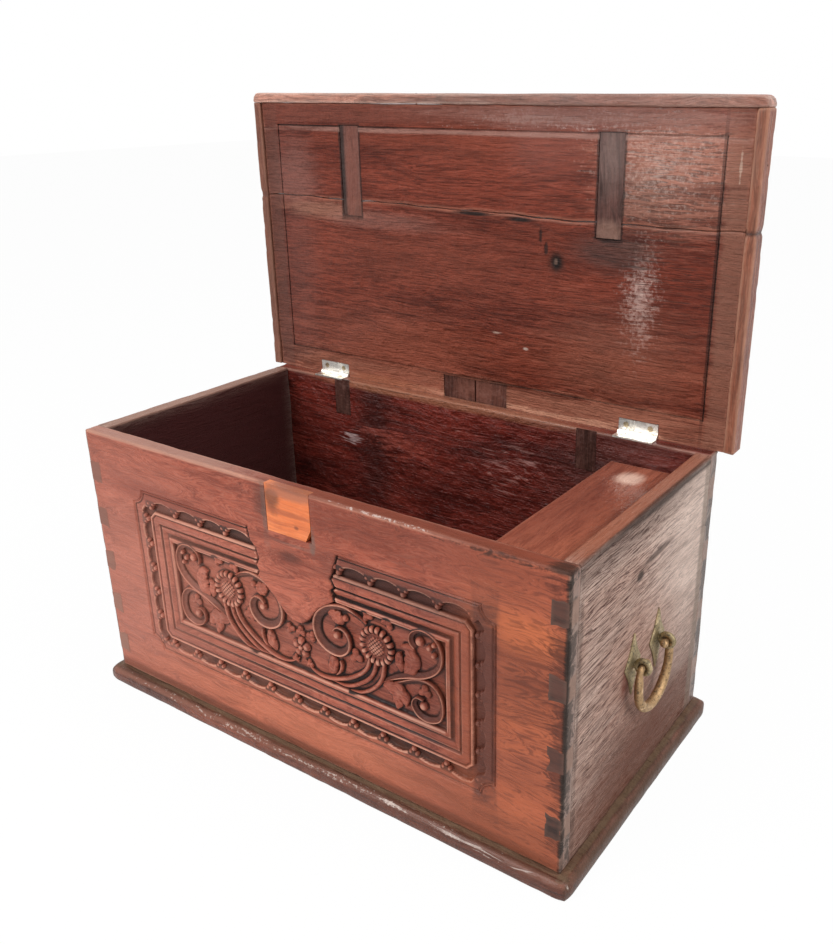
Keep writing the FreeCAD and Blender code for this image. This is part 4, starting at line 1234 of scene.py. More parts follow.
LID_WOOD = Wood(
    "lid wood", "lid_wood", (0.255, 0.05, 0.027), (0.168, 0.03, 0.016), (0.034, 0.0085, 0.006),
    (0.42, 0.16, 0.105), Grain.ALONG_X, figure=0.38, wave=0.014, fibre=0.55, fine=460.0, crisp=0.035,
    hair=0.14, mottle=0.32, rough=0.32, gloss=0.06, relief=0.0046, lumps=0.005, varnish=0.14, wear=0.6,
    marks=(
        # Bloom, stains and streaks, with painted sheen, painted highlights and a painted shadow
        lid_mark(205, 465, 20, 62, (0.78, 0.57, 0.5), 0.58, soft=0.7, ragged=2.4, thin=0.6,
                 fray=Fray.SPECKS),
        lid_mark(202, 570, 24, 30, (0.05, 0.034, 0.029), 0.7, soft=0.7, ragged=1.8),
        # Painted shadow under the right slip
        lid_mark(172, 508, 40, 18, (0.06, 0.043, 0.038), 0.7, soft=0.7, ragged=1.8),
        lid_mark(-262, 560, 34, 30, (0.28, 0.135, 0.112), 0.45, soft=0.7, ragged=1.9),
        lid_mark(-262, 470, 24, 150, (0.24, 0.1, 0.08), 0.3, soft=0.9, ragged=1.6),
        lid_mark(-225, 523, 60, 9, (0.4, 0.185, 0.125), 0.6, soft=0.6, ragged=2.2),
        lid_mark(-120, 516, 80, 10, (0.36, 0.18, 0.145), 0.35, soft=0.6, ragged=2.4),
        lid_mark(-60, 480, 130, 34, (0.28, 0.075, 0.045), 0.35, soft=0.7, ragged=2.6),
        lid_mark(60, 612, 190, 26, (0.3, 0.072, 0.04), 0.4, soft=0.7, ragged=2.0),
        # Painted sheen: the upper right is painted lighter
        lid_mark(232, 590, 66, 50, (0.6, 0.27, 0.19), 0.65, soft=0.7, ragged=2.2),
        lid_mark(235, 560, 80, 80, (0.03, 0.012, 0.01), 0.6, soft=0.3, ragged=3.5, thin=0.75,
                 fray=Fray.LINES),
        # Painted highlights and sheen: pale specks for glints in the upper right and along the top band, and
        # a paler band there
        lid_mark(215, 595, 84, 60, (0.9, 0.7, 0.61), 0.3, soft=0.7, ragged=2.6, thin=0.9, fray=Fray.SPECKS),
        lid_mark(110, 632, 170, 13, (0.88, 0.74, 0.68), 0.45, soft=0.4, ragged=2.6, thin=0.8,
                 fray=Fray.SPECKS),
        lid_mark(120, 634, 180, 9, (0.42, 0.24, 0.2), 0.6, soft=0.6, ragged=2.6),
        lid_mark(190, 390, 80, 44, (0.36, 0.13, 0.082), 0.5, soft=0.8, ragged=2.0),
        # Dark outlines of the filled beds
        lid_mark(-170, 570, 16, 53, SOOT, 0.75, Spread.SQUARE, 0.06, 0.25),
        lid_mark(166, 570, 16, 53, SOOT, 0.75, Spread.SQUARE, 0.06, 0.25),
        lid_mark(3.5, 331, 46.5, 16, SOOT, 0.75, Spread.SQUARE, 0.06, 0.25),
        # Gaps in the joint, cracks and the knot hole
        lid_mark(2, 533.5, 24, 2.2, SOOT, 0.95, ragged=1.3, dent=3.0),
        lid_mark(62, 531, 17, 2.4, SOOT, 0.95, ragged=1.2, dent=3.0),
        lid_mark(88, 517, 1.8, 8, SOOT, 0.8, ragged=2.2, dent=1.5),
        lid_mark(95, 504, 1.8, 6, SOOT, 0.8, ragged=2.2, dent=1.5),
        lid_mark(108, 490, 9.5, 11, (0.06, 0.02, 0.014), 0.8, ragged=0.6),
        lid_mark(108, 490, 5.5, 7.0, SOOT, 0.95, ragged=0.8, dent=2.5),
        # Painted highlight in the knot hole
        lid_mark(107, 491, 2.2, 3.0, (0.34, 0.2, 0.15), 0.4, ragged=1.6),
        # Lower edge, sides and upper edge
        lid_mark(0, 330, 312, 16, (0.56, 0.235, 0.15), 0.5, Spread.SQUARE, 0.5, 1.9),
        lid_mark(0, 321, 312, 5, (0.8, 0.42, 0.28), 0.6, Spread.SQUARE, 0.4, 3.2, thin=0.5),
        lid_mark(-130, 321, 60, 6, (0.42, 0.15, 0.08), 0.8, ragged=1.6),
        lid_mark(296, 470, 12, 165, (0.29, 0.13, 0.088), 0.65, Spread.SQUARE, 0.4, 1.2, dry=0.15),
        lid_mark(296, 590, 1.2, 24, (0.62, 0.45, 0.35), 0.6, soft=0.4, ragged=4.0, thin=0.5),
        lid_mark(-296, 480, 12, 175, (0.13, 0.062, 0.048), 0.6, Spread.SQUARE, 0.4, 1.2),
        lid_mark(-20, 634, 290, 10, (0.2, 0.062, 0.042), 0.6, Spread.SQUARE, 0.4, 1.4),
        # Painted highlight just below the top scored line
        lid_mark(0, 616.5, 280, 2.4, (0.46, 0.26, 0.21), 0.55, Spread.SQUARE, 0.5, 1.6),
        lid_mark(280, 484, 1.4, 138, (0.03, 0.012, 0.01), 0.7, Spread.SQUARE, 0.5, 1.4),
        # Outer face, then small worn places
        band((0, 172.5, 480), (320, 2, 180), (0.22, 0.072, 0.042), 0.6, 0.3, 0.4, dry=0.12),
        lid_mark(-110, 366, 110, 40, (0.4, 0.115, 0.07), 0.6, soft=0.9, ragged=1.8),
        lid_mark(34, 405, 7, 2.0, (0.75, 0.55, 0.45), 0.5, ragged=3.6, thin=0.3),
        lid_mark(72, 392, 3, 1.4, (0.75, 0.58, 0.5), 0.7, ragged=1.6),
    ),
)
LIP_WOOD = Wood(
    "lip wood", "lip_wood", (0.66, 0.305, 0.22), (0.42, 0.165, 0.112), (0.045, 0.015, 0.011),
    (0.6, 0.4, 0.33), Grain.ALONG_X, figure=0.65, fibre=0.5, hair=0.3, mottle=0.8, rough=0.32, gloss=0.14,
    relief=0.0034, lumps=0.005, varnish=0.2, wear=0.65,
    marks=(Mark((150, 152, 648), (150, 6, 12), (0.1, 0.036, 0.027), 0.6, soft=0.8, ragged=1.8),),
)
SIDE_LIP_WOOD = Wood(
    "side lip wood", "lip_wood", (0.33, 0.105, 0.058), (0.21, 0.058, 0.032), (0.055, 0.017, 0.012),
    (0.46, 0.24, 0.16), Grain.ALONG_Z, figure=0.5, fibre=0.5, hair=0.3, mottle=0.45, rough=0.36,
    gloss=0.14, relief=0.003, lumps=0.0024, varnish=0.12, wear=0.6,
    # Painted shade on the left lip
    marks=(band((-312, 152, 480), (8, 8, 190), (0.13, 0.05, 0.034), 0.6, 0.5, 1.6),),
)
SLIP_WOOD = Wood(
    "slip wood", "slip_wood", (0.125, 0.05, 0.039), (0.078, 0.03, 0.024), (0.028, 0.012, 0.009),
    (0.26, 0.15, 0.12), Grain.ALONG_Z, figure=0.5, fibre=0.4, hair=0.2, mottle=0.6, rough=0.34,
    gloss=0.12, relief=0.0028, lumps=0.004, varnish=0.16,
    marks=(
        Mark((166, 155, 526), (16, 5, 12), (0.25, 0.135, 0.1), 0.7, ragged=1.4),
        Mark((166, 155, 600), (14, 5, 30), (0.2, 0.13, 0.11), 0.5, soft=0.8, ragged=2.0),
        Mark((-170, 155, 575), (20, 5, 30), (0.14, 0.082, 0.07), 0.5, ragged=1.8),
        Mark((-170, 155, 530), (20, 5, 14), (0.2, 0.085, 0.06), 0.6, ragged=1.8),
        Mark((8, 157, 334), (36, 5, 18), (0.27, 0.105, 0.074), 0.65, soft=0.6, ragged=1.6),
        Mark((-168, 155, 570), (11, 5, 60), (0.23, 0.072, 0.048), 0.7, soft=0.6, ragged=1.4),
        band((-182, 155, 570), (3.5, 6, 60), SOOT, 0.8, 0.5, 1.2),
    ),
)
PATCH_WOOD = Wood(
    "patch wood", "patch_wood", (0.98, 0.3, 0.1), (0.76, 0.19, 0.055), (0.34, 0.07, 0.024),
    (0.98, 0.48, 0.22), Grain.ALONG_X, figure=0.35, fibre=0.22, mottle=0.22, rough=0.36, relief=0.001,
    varnish=0.1,
    marks=(
        Mark((-20, -156, 304), (9, 6, 12), (0.05, 0.022, 0.014), 0.7, ragged=1.8),
        Mark((0, -156, 292), (26, 6, 2.4), (0.34, 0.08, 0.032), 0.6, ragged=2.4),
        Mark((4, -156, 313), (32, 12, 6), (0.34, 0.125, 0.075), 0.7, ragged=1.5),
        Mark((10, -156, 280), (3, 6, 2), (0.16, 0.04, 0.02), 0.7, ragged=1.2),
        Mark((10, -152, 318), (34, 12, 4), (0.24, 0.085, 0.05), 0.7, ragged=1.2),
    ),
)
TILL_WOOD = Wood(
    "till wood", "till_wood", (0.45, 0.137, 0.077), (0.3, 0.081, 0.047), (0.085, 0.018, 0.012),
    (0.42, 0.17, 0.115), Grain.ALONG_Y, figure=0.45, fibre=0.4, hair=0.2, mottle=0.3, rough=0.28,
    gloss=0.22, relief=0.0015, lumps=0.001, varnish=0.12, wear=0.5,
    marks=(
        Mark((214, 30, 290), (26, 110, 4), (0.115, 0.03, 0.024), 0.5, soft=0.9, ragged=1.6),
        Mark((262, 20, 290), (8, 120, 4), (0.06, 0.018, 0.014), 0.5, soft=0.7, ragged=1.8),
        # Painted reflection: a pale patch near the till lid's rear end
        Mark((228, 102, 290), (13, 15, 4), (0.85, 0.58, 0.46), 0.8, soft=0.6, ragged=1.0),
    ),
)
HINGE_STEEL = Metal(
    "hinge steel", "hinge_steel", (0.95, 0.93, 0.88), (0.74, 0.7, 0.63), (0.24, 0.19, 0.14), tarnish=0.24,
    rough=0.34,
)
SCREW_BRASS = Metal(
    "screw brass", "screw_brass", (0.78, 0.64, 0.42), (0.5, 0.38, 0.2), (0.12, 0.08, 0.05), tarnish=0.25,
    rough=0.28,
)
HANDLE_BRASS = Metal(
    "handle brass", "handle_brass", (0.82, 0.57, 0.33), (0.42, 0.272, 0.143), (0.095, 0.066, 0.042),
    tarnish=0.76, rough=0.36, relief=0.0006,
)
PLATE_BRASS = replace(
    HANDLE_BRASS, name="plate brass", clean=(0.66, 0.51, 0.31), dull=(0.33, 0.26, 0.15),
    dirt=(0.06, 0.054, 0.038),
)
NAIL_IRON = Metal(
    "nail iron", "nail_iron", (0.16, 0.14, 0.12), (0.09, 0.075, 0.065), (0.05, 0.03, 0.02), tarnish=0.7,
    rough=0.5,
)


@dataclass
class Carcase:
    """The four dovetailed walls and their pins."""

    half_width: float = 300.0
    half_depth: float = 156.0
    low: float = 18.0
    high: float = 318.0
    thick: float = 17.0
    proud: float = 0.12
    pin_half: float = 13.0
    bed: Pair = (189.5, 234.5)

    def front(self) -> Shape:
        """The front board, sunk where the carved panel and the patch lie in it."""
        pockets = (
            Pocket(1, -1, (-234.5, 64.0), (234.5, 267.5), 10.0),
            Pocket(1, -1, (-28.5, 260.5), (28.5, self.high + 1), 8.2, 0.5),
        )
        low = (-self.half_width, -self.half_depth, self.low)
        high = (self.half_width, -self.half_depth + self.thick, self.high)
        board = Board(low, high, radius=1.6, spacing=9.0, ripple=0.15, chips=0.9, seed=3, pockets=pockets)
        return board.shape()

    def back(self) -> Shape:
        """The back board with the beds of the hinges and of the two slips."""
        pockets = []
        for side in (-1, 1):
            ends = sorted((side * self.bed[0], side * self.bed[1]))
            low = (ends[0] - 0.3, self.half_depth - self.thick - 1.0)
            pockets.append(Pocket(2, 1, low, (ends[1] + 0.3, self.half_depth + 1.0), 1.3, 0.3))
        for low, high in ((-201.3, -176.7), (146.7, 171.3)):
            pockets.append(Pocket(1, -1, (low, 271.5), (high, self.high + 1.0), 2.4, 0.8))
        low = (-self.half_width, self.half_depth - self.thick, self.low)
        high = (self.half_width, self.half_depth, self.high)
        board = Board(low, high, radius=1.6, ripple=0.5, chips=0.9, seed=7, pockets=tuple(pockets))
        return board.shape(square=self.under_lid)

    def under_lid(self, points: Array) -> Array:
        """Picks the back board's outer top edge, where the lid comes down on it."""
        return (points[:, 1] > self.half_depth - 4.0) & (points[:, 2] > self.high - 3.0)

    def end(self, side: int) -> Shape:
        """An end board between the front and the back; side is 1 at the right and -1 at the left."""
        inner = self.half_depth - self.thick
        low = (self.half_width - self.thick, -inner - 0.6, self.low)
        high = (self.half_width, inner + 0.6, self.high)
        made = Board(low, high, radius=1.2, spacing=9.0, ripple=0.3, seed=11 + side).shape()
        return made.on_side(side)

    def pins(self, side: int) -> Shape:
        """The dovetail pins of one end, seen through the front and the back: blocks that taper outwards.

        A block's upper and lower edges wander by seeded waves, as hand-sawn ones do.
        """
        made = []
        root = self.half_width - self.thick
        wander = Ripple(35 + side, 9.0)
        for place, middle in enumerate(PINS[side]):
            for face in (-1, 1):
                ends = sorted((face * (self.half_depth + self.proud), face * (self.half_depth - self.thick)))
                low = (root, ends[0], middle - self.pin_half)
                high = (self.half_width - 0.6, ends[1], middle + self.pin_half)
                board = Board(low, high, radius=0.6, spacing=2.5, ripple=0.08, chips=0.4, seed=31 + place)
                block = board.shape()
                share = (block.points[:, 0] - root) / self.thick
                tall = (block.points[:, 2] - middle) / self.pin_half
                uneven = 1.1 * wander.at(block.points) * np.abs(tall)
                block.points[:, 2] = middle + tall * (self.pin_half - 2.0 * share) + uneven
                block.points[:, 0] -= 1.2 * unit(wander.at(block.points * 0.8 + 40.0)) * (share < 0.1)
                made.append(block)
        return Shape.joined(made).on_side(side)

    def build(self, front: Material) -> None:
        """Makes the walls and puts them in the scene, the front one in the finish given."""
        end, pin = END_WOOD.dress(), PIN_WOOD.dress()
        add_piece("front_board_worn", self.front(), front, Body.CHEST, ["front_board"])
        back = BACK_WOOD.dress()
        add_piece("back_board_worn", self.back(), back, Body.CHEST, ["back_board"])
        for side, word in ((1, "right"), (-1, "left")):
            node = f"{word}_end_board"
            add_piece(f"{node}_worn", self.end(side), end, Body.CHEST, [node])
            add_piece(f"{word}_dovetail_pins", self.pins(side), pin, Body.CHEST)
        dress_nodes(["lock_patch"], PATCH_WOOD.dress())


@dataclass
class CarvedPanel:
    """The carved front: nested frames, a border of hollows and buds, and the scrolling ornament."""

    relief: Relief = field(default_factory=Relief)
    half: float = 237.0
    bottom: float = 44.5
    top: float = 250.5
    bed: float = 9.0
    outline: tuple[float, float, float, float] = (232.5, 99.75, 147.4, 15.0)
    rim: Triple = (208.0, 77.5, 147.0)
    cant: float = 5.0
    row_pitch: float = 37.6
    upper_start: float = 58.0
    lower_start: float = -10.5
    column_pitch: float = 30.0
    column_start: float = 183.7
    bud_row: float = 7.0
    bud_column: float = 6.5

    TONGUE = (
        (-58, 256), (-57, 243), (-55, 232), (-48, 226), (-45, 214), (-49, 206), (-46, 200), (-49, 194),
        (-40, 187), (-31, 179), (-21, 169), (-14, 162), (-7, 158), (0, 156.5), (7, 158), (14, 163),
        (20, 170), (29, 181), (40, 189), (49, 195), (46, 207), (50, 211), (46, 219), (50, 226), (52, 233),
        (56, 244), (58, 256),
    )
    # The frames' profile: distance inside the rim and depth of the cut
    PROFILE = (
        (0.0, 1.0), (0.6, 0.4), (1.4, 0.3), (2.3, 0.5), (2.9, 1.8), (3.7, 2.0), (4.5, 0.9), (6.0, 0.6),
        (10.5, 0.7), (12.4, 1.1), (13.2, 3.0), (14.8, 3.3), (15.6, 1.7), (17.5, 1.9), (20.0, 3.0),
        (22.6, 4.2), (24.2, 4.4), (25.0, 2.2), (26.2, 1.3), (28.0, 1.1), (29.4, 1.6), (30.3, 3.4),
        (31.2, 6.0),
    )
    # A bud's three beads: radius and height
    BUD = ((3.3, 5.0), (2.8, 4.8), (2.8, 4.8))
    PROUD = 0.06

    def lines(self) -> tuple[Array, Array]:
        """The lattice lines: close over the frames and the tongue, wider over the ground."""
        outer = np.linspace(176.0, self.half, 88)
        middle = np.linspace(62.0, 176.0, 56)[:-1]
        inner = np.linspace(0.0, 62.0, 60)[:-1]
        right = np.concatenate([inner, middle, outer])
        across = np.concatenate([-right[:0:-1], right])
        low = np.linspace(self.bottom, 101.0, 80)
        high = np.linspace(194.0, self.top, 80)
        up = np.concatenate([low, np.linspace(101.0, 194.0, 50)[1:-1], high])
        return across, up

    def tongue_gap(self, across: Array, up: Array) -> Array:
        """The distance out of the plain tongue, negative inside it.

        The distance is the least over the outline's straight runs, and the sign comes from
        counting how many runs a level line from the point crosses.
        """
        corner = np.array(self.TONGUE, float)
        start, end = corner, np.roll(corner, -1, 0)
        least = np.full(across.shape, 1e9)
        inside = np.zeros(across.shape, bool)
        for first, last in zip(start, end):
            run = last - first
            share = unit(((across - first[0]) * run[0] + (up - first[1]) * run[1]) / (run @ run))
            away = np.hypot(across - first[0] - share * run[0], up - first[1] - share * run[1])
            least = np.minimum(least, away)
            between = (first[1] > up) != (last[1] > up)
            cross = first[0] + (up - first[1]) * run[0] / (run[1] if abs(run[1]) > 1e-9 else 1e-9)
            inside ^= between & (across < cross)
        return np.where(inside, -least, least)

    def depth(self, across: Array, up: Array) -> tuple[Array, Array, Array]:
        """How deep the panel is cut at each place, how much dirt and painted shade lies there, and whether
        it is carved.

        Each frame member is a band of the distance inside its rim, with canted corners. The
        border's hollow is deepest beside the rim and its width follows arches between the buds.

        Args:
            across: the places along the panel.
            up: the places above the board's lower edge.

        Returns:
            Depth in mm, dirt and painted shade from 0 to 1, and 1 where the wood is carved.
        """
        # Distances inside the outline, with notched corners, and inside the frames' rim
        wide, tall, middle, notch = self.outline
        side = wide - np.abs(across)
        level = tall - np.abs(up - middle)
        corner = np.hypot(np.maximum(side, 0), np.maximum(level, 0)) - notch
        line = np.minimum(np.minimum(side, level), corner)
        rim_side = self.rim[0] - np.abs(across)
        rim_level = self.rim[1] - np.abs(up - self.rim[2])
        canted = (rim_side + rim_level) / math.sqrt(2.0) - self.cant
        inside = np.minimum(np.minimum(rim_side, rim_level), canted)
        # The border's hollows between the buds, and two grooves along the outline
        start = np.where(up > self.rim[2], self.upper_start, self.lower_start)
        row = (across - start) / self.row_pitch
        column = (up - self.column_start) / self.column_pitch
        phase = np.where(rim_side < rim_level, column, row)
        reach = 5.0 + 8.5 * np.abs(np.sin(math.pi * phase)) ** 0.6
        hollow = 4.4 * ease(reach + inside, 0.0, 1.8) * ease(-inside, -0.1, 0.8)
        border = 0.35 * ease(line, 3.6, 4.6) + np.where(inside < 0, hollow, 0.0)
        groove = (bell(line, 0.9, 0.9) + bell(line, 3.6, 0.8)) * (line > -1.5)
        # The cut: frames inside the rim, border outside it, and the plain tongue left standing
        cut = np.where(inside > 0, np.interp(inside, *np.array(self.PROFILE).T), border + 1.5 * groove)
        cut = np.where(line < 0, 1.3 * groove, cut)
        gap = self.tongue_gap(across, up)
        cut = cut * ease(gap, -0.1, 1.6) + 2.4 * bell(gap, 1.5, 1.1) * (line > 0)
        # Dirt and painted shade in the frames' quirks, the hollows, the grooves and round the tongue
        dirt = 0.85 * bell(inside, 14.0, 1.2) + 0.7 * ease(inside, 19.5, 23.5) * (inside < 25.0)
        dirt = dirt + 0.6 * bell(inside, 3.3, 0.7) + 0.9 * groove
        dirt = dirt + 0.62 * np.where(inside < 0, ease(hollow, 0.8, 3.0), 0.0)
        dirt = dirt + 0.55 * bell(inside, 31.5, 1.6) + 0.24 * (inside > 31.0)
        dirt = dirt * ease(gap, 0.2, 1.4) + 0.8 * bell(gap, 1.2, 1.1) * (line > 0)
        return cut, unit(dirt), ease(line, 0.0, 3.0) * ease(gap, -0.5, 1.0)

    def halo(self, ornament: Sequence[Shape], across: Array, up: Array) -> Array:
        """How near each place of the ground lies to the ornament, from 0 to 1, for painted shade round it.

        The ornament's points are counted in cells of 1 mm, and the filled cells are smoothed, so
        that the value falls off over some 4 mm round each leaf and stalk.

        Args:
            ornament: the shapes that stand on the ground.
            across: the places along the panel.
            up: the places above the board's lower edge.

        Returns:
            The value at each place.
        """
        points = np.concatenate([shape.points for shape in ornament])
        wide, tall = int(2 * self.half), int(self.top + 10.0)
        reach = ((-self.half, self.half), (self.relief.lift_base, self.relief.lift_base + tall))
        count = np.histogram2d(points[:, 0], points[:, 2], (wide, tall), reach)[0]
        near = soften((count > 0).astype(float), 5)
        column = np.clip((across + self.half).astype(int), 0, wide - 1)
        return near[column, np.clip(up.astype(int), 0, tall - 1)]

    def ground(self, ornament: Sequence[Shape]) -> Shape:
        """The cut panel as a closed slab: its face is a height over a lattice, its back is flat.

        Places lower than the smoothed face round them are darkened with dirt and painted shade, the ground
        near the ornament with painted shade, and higher ones are rubbed.

        Args:
            ornament: the shapes that stand on the panel.

        Returns:
            The closed panel.
        """
        lines = self.lines()
        across, up = np.meshgrid(*lines, indexing="ij")
        cut, dirt, carved = self.depth(across, up)
        # Painted shade: the ground darkens near the ornament and where it lies lower than the smoothed face
        # round it, on top of the dirt
        low = cut - soften(cut, 6)
        shaded = 0.95 * ease(self.halo(ornament, across, up), 0.02, 0.55)
        dirt = unit(np.maximum(dirt, shaded) + 0.5 * unit(low / 1.2)) * carved
        face = stacked(across, self.relief.face - self.PROUD, up + self.relief.lift_base)
        tool = Ripple(21, 11.0).at(face)
        board = Ripple(3, Board.RIPPLE_LENGTH).at(face)
        face[..., 1] += np.maximum(cut + 0.12 * tool * unit(cut), 0.0) - 0.15 * board
        rows, columns = cut.shape
        number = np.arange(rows * columns).reshape(rows, columns)
        edge = np.concatenate([number[:, 0], number[-1, 1:], number[-2::-1, -1], number[0, -2:0:-1]])
        back = face.reshape(-1, 3)[edge].copy()
        back[:, 1] = self.relief.face + self.bed
        below = rows * columns + np.arange(len(edge))
        wall = cells(np.stack([np.append(edge, edge[0]), np.append(below, below[0])], 1))
        points = np.concatenate([face.reshape(-1, 3), back])
        proud = unit(-low / 0.8) * carved
        carried = [np.append(values, np.zeros(len(edge))) for values in (proud, dirt, carved)]
        return Shape(points, [cells(number)[:, ::-1], wall, below[None, ::-1]], *carried).outward()

    def bud(self, *spots: Pair) -> list[Shape]:
        """One bud: a bead at each of three spots, the first one the largest."""
        shallow = replace(self.relief, ground=4.6, root=0.6)
        return [shallow.bead(spot, *size) for spot, size in zip(spots, self.BUD)]

    def buds(self) -> Shape:
        """The three-lobed buds at the cusps of the border's hollows."""
        made = []
        high = self.rim[2] + self.rim[1] + self.bud_row
        low = self.rim[2] - self.rim[1] - self.bud_row
        for count in range(-7, 8):
            for level, start, inward in ((high, self.upper_start, -1), (low, self.lower_start, 1)):
                across = start + count * self.row_pitch
                if abs(across) < 212.0 and (inward > 0 or abs(across) > 55.5):
                    tip, foot = level + 2.6 * inward, level - 2.0 * inward
                    made += self.bud((across, tip), (across - 3.5, foot), (across + 3.5, foot))
        for count in range(-4, 2):
            level = self.column_start + count * self.column_pitch
            for side in (-1, 1):
                across = side * (self.rim[0] + self.bud_column)
                tip, foot = across - 1.6 * side, across + 2.8 * side
                made += self.bud((tip, level), (foot, level - 3.2), (foot, level + 3.2))
        return Shape.joined(made)

    def half_ornament(self) -> Shape:
        """The right half of the ornament: flower, scrolls, stalks and leaves."""
        cut = self.relief
        made = [
            cut.scroll(
                ((86, 181), (75, 187), (61, 190.5), (42, 185.5), (28.5, 174), (24, 160), (28, 147),
                 (39, 139.5), (52, 139), (61.5, 146), (64, 156), (59.5, 164), (52, 165.5), (47, 161.5)),
                8.6, 5.6, 1),
            cut.bead((49.2, 157.6), 4.6, 5.4),
            cut.leaf(((58, 172), (52, 176), (45, 179.5), (40, 180)), 15.0, 4.6, 3.0),
            cut.bead((61, 179.5), 3.6, 4.4),
            cut.trefoil((71.5, 141.0), 8.4, 4.8, 100.0),
            cut.stem(
                ((4, 112.5), (17, 104.5), (37, 104), (60, 112.5), (77, 124), (86, 135), (90, 147)),
                4.4, 4.4),
            cut.stem(((40, 101.5), (62, 104.5), (83, 118), (93, 131), (97.5, 146)), 4.4, 4.0),
            cut.stem(((62, 99.5), (78, 103.5), (93, 114), (103, 128), (107, 146)), 4.4, 4.4),
            daisy(cut, (98.3, 162.3), 20.6, 17),
            cut.trefoil((87.5, 190.5), 6.8, 4.4, 120.0),
            cut.trefoil((112.0, 191.0), 7.2, 4.4, 60.0),
            cut.scroll(
                ((104, 126), (119, 136.5), (136, 144.5), (153, 150.5), (165.5, 159.5), (171.5, 170),
                 (171.5, 183), (164.5, 193.5), (152, 196.5), (142, 191.5), (139.5, 183), (144.5, 177.5)),
                6.2, 5.4, 1),
            cut.bead((148.8, 184.6), 4.8, 5.4),
            cut.bead((165.0, 186.5), 2.9, 5.2),
            cut.bead((159.6, 181.6), 3.3, 5.2),
            cut.bead((164.4, 175.4), 2.9, 5.2),
            cut.leaf(((130, 144), (138, 152), (140, 163), (135.5, 172), (128, 174.5)), 18.0, 5.2, 3.0, 0.1),
            cut.leaf(((126, 144), (124.5, 152), (124.0, 160), (127.0, 166)), 10.0, 4.6, 2.0),
            cut.scroll(
                ((112, 125), (128, 134), (146, 142.5), (161, 142.5), (170, 134), (172.5, 121), (169, 109.5),
                 (157.5, 104), (146.5, 106.5), (140.5, 115), (144, 122.5), (151.5, 122.5)),
                6.0, 5.2, -1),
            cut.bead((151.5, 116.5), 4.8, 5.2),
            cut.trefoil((152.5, 132.0), 7.4, 4.8, 90.0),
            cut.leaf(((104, 121), (116, 122.5), (127, 118.5), (133, 109)), 18.0, 5.2, 3.0),
            cut.leaf(((115, 116), (121, 110), (121.5, 102)), 12.0, 4.8, 2.0),
            cut.leaf(((36, 110), (41, 118), (42.5, 127), (41, 134)), 13.0, 5.2, 2.0),
            cut.stem(((44, 110), (51, 117), (53.5, 125), (52.5, 130)), 3.4, 4.4),
            cut.trefoil((14.0, 143.5), 6.4, 4.6, 60.0),
        ]
        return Shape.joined(made)

    def build(self, wood: Material) -> None:
        """Makes the panel's ground, buds and ornament in the front board's finish."""
        buds, right = self.buds(), self.half_ornament()
        left = right.mirrored()
        flower = Shape.joined([
            posy(self.relief, (0.0, 126.5), 12.0, 5),
            self.relief.trefoil((0.0, 144.5), 6.6, 4.6, 90.0),
            self.relief.trefoil((-9.5, 110.5), 5.0, 4.2, 200.0),
            self.relief.trefoil((9.5, 110.5), 5.0, 4.2, -20.0),
        ])
        panel = self.ground([buds, right, left, flower])
        add_piece("carved_panel", panel, wood, Body.CHEST, sharp=60.0)
        add_piece("carved_buds", buds, wood, Body.CHEST)
        add_piece("carved_scrolls_right", right, wood, Body.CHEST, sharp=60.0)
        add_piece("carved_scrolls_left", left, wood, Body.CHEST, sharp=60.0)
        add_piece("carved_flower", flower, wood, Body.CHEST, sharp=60.0)


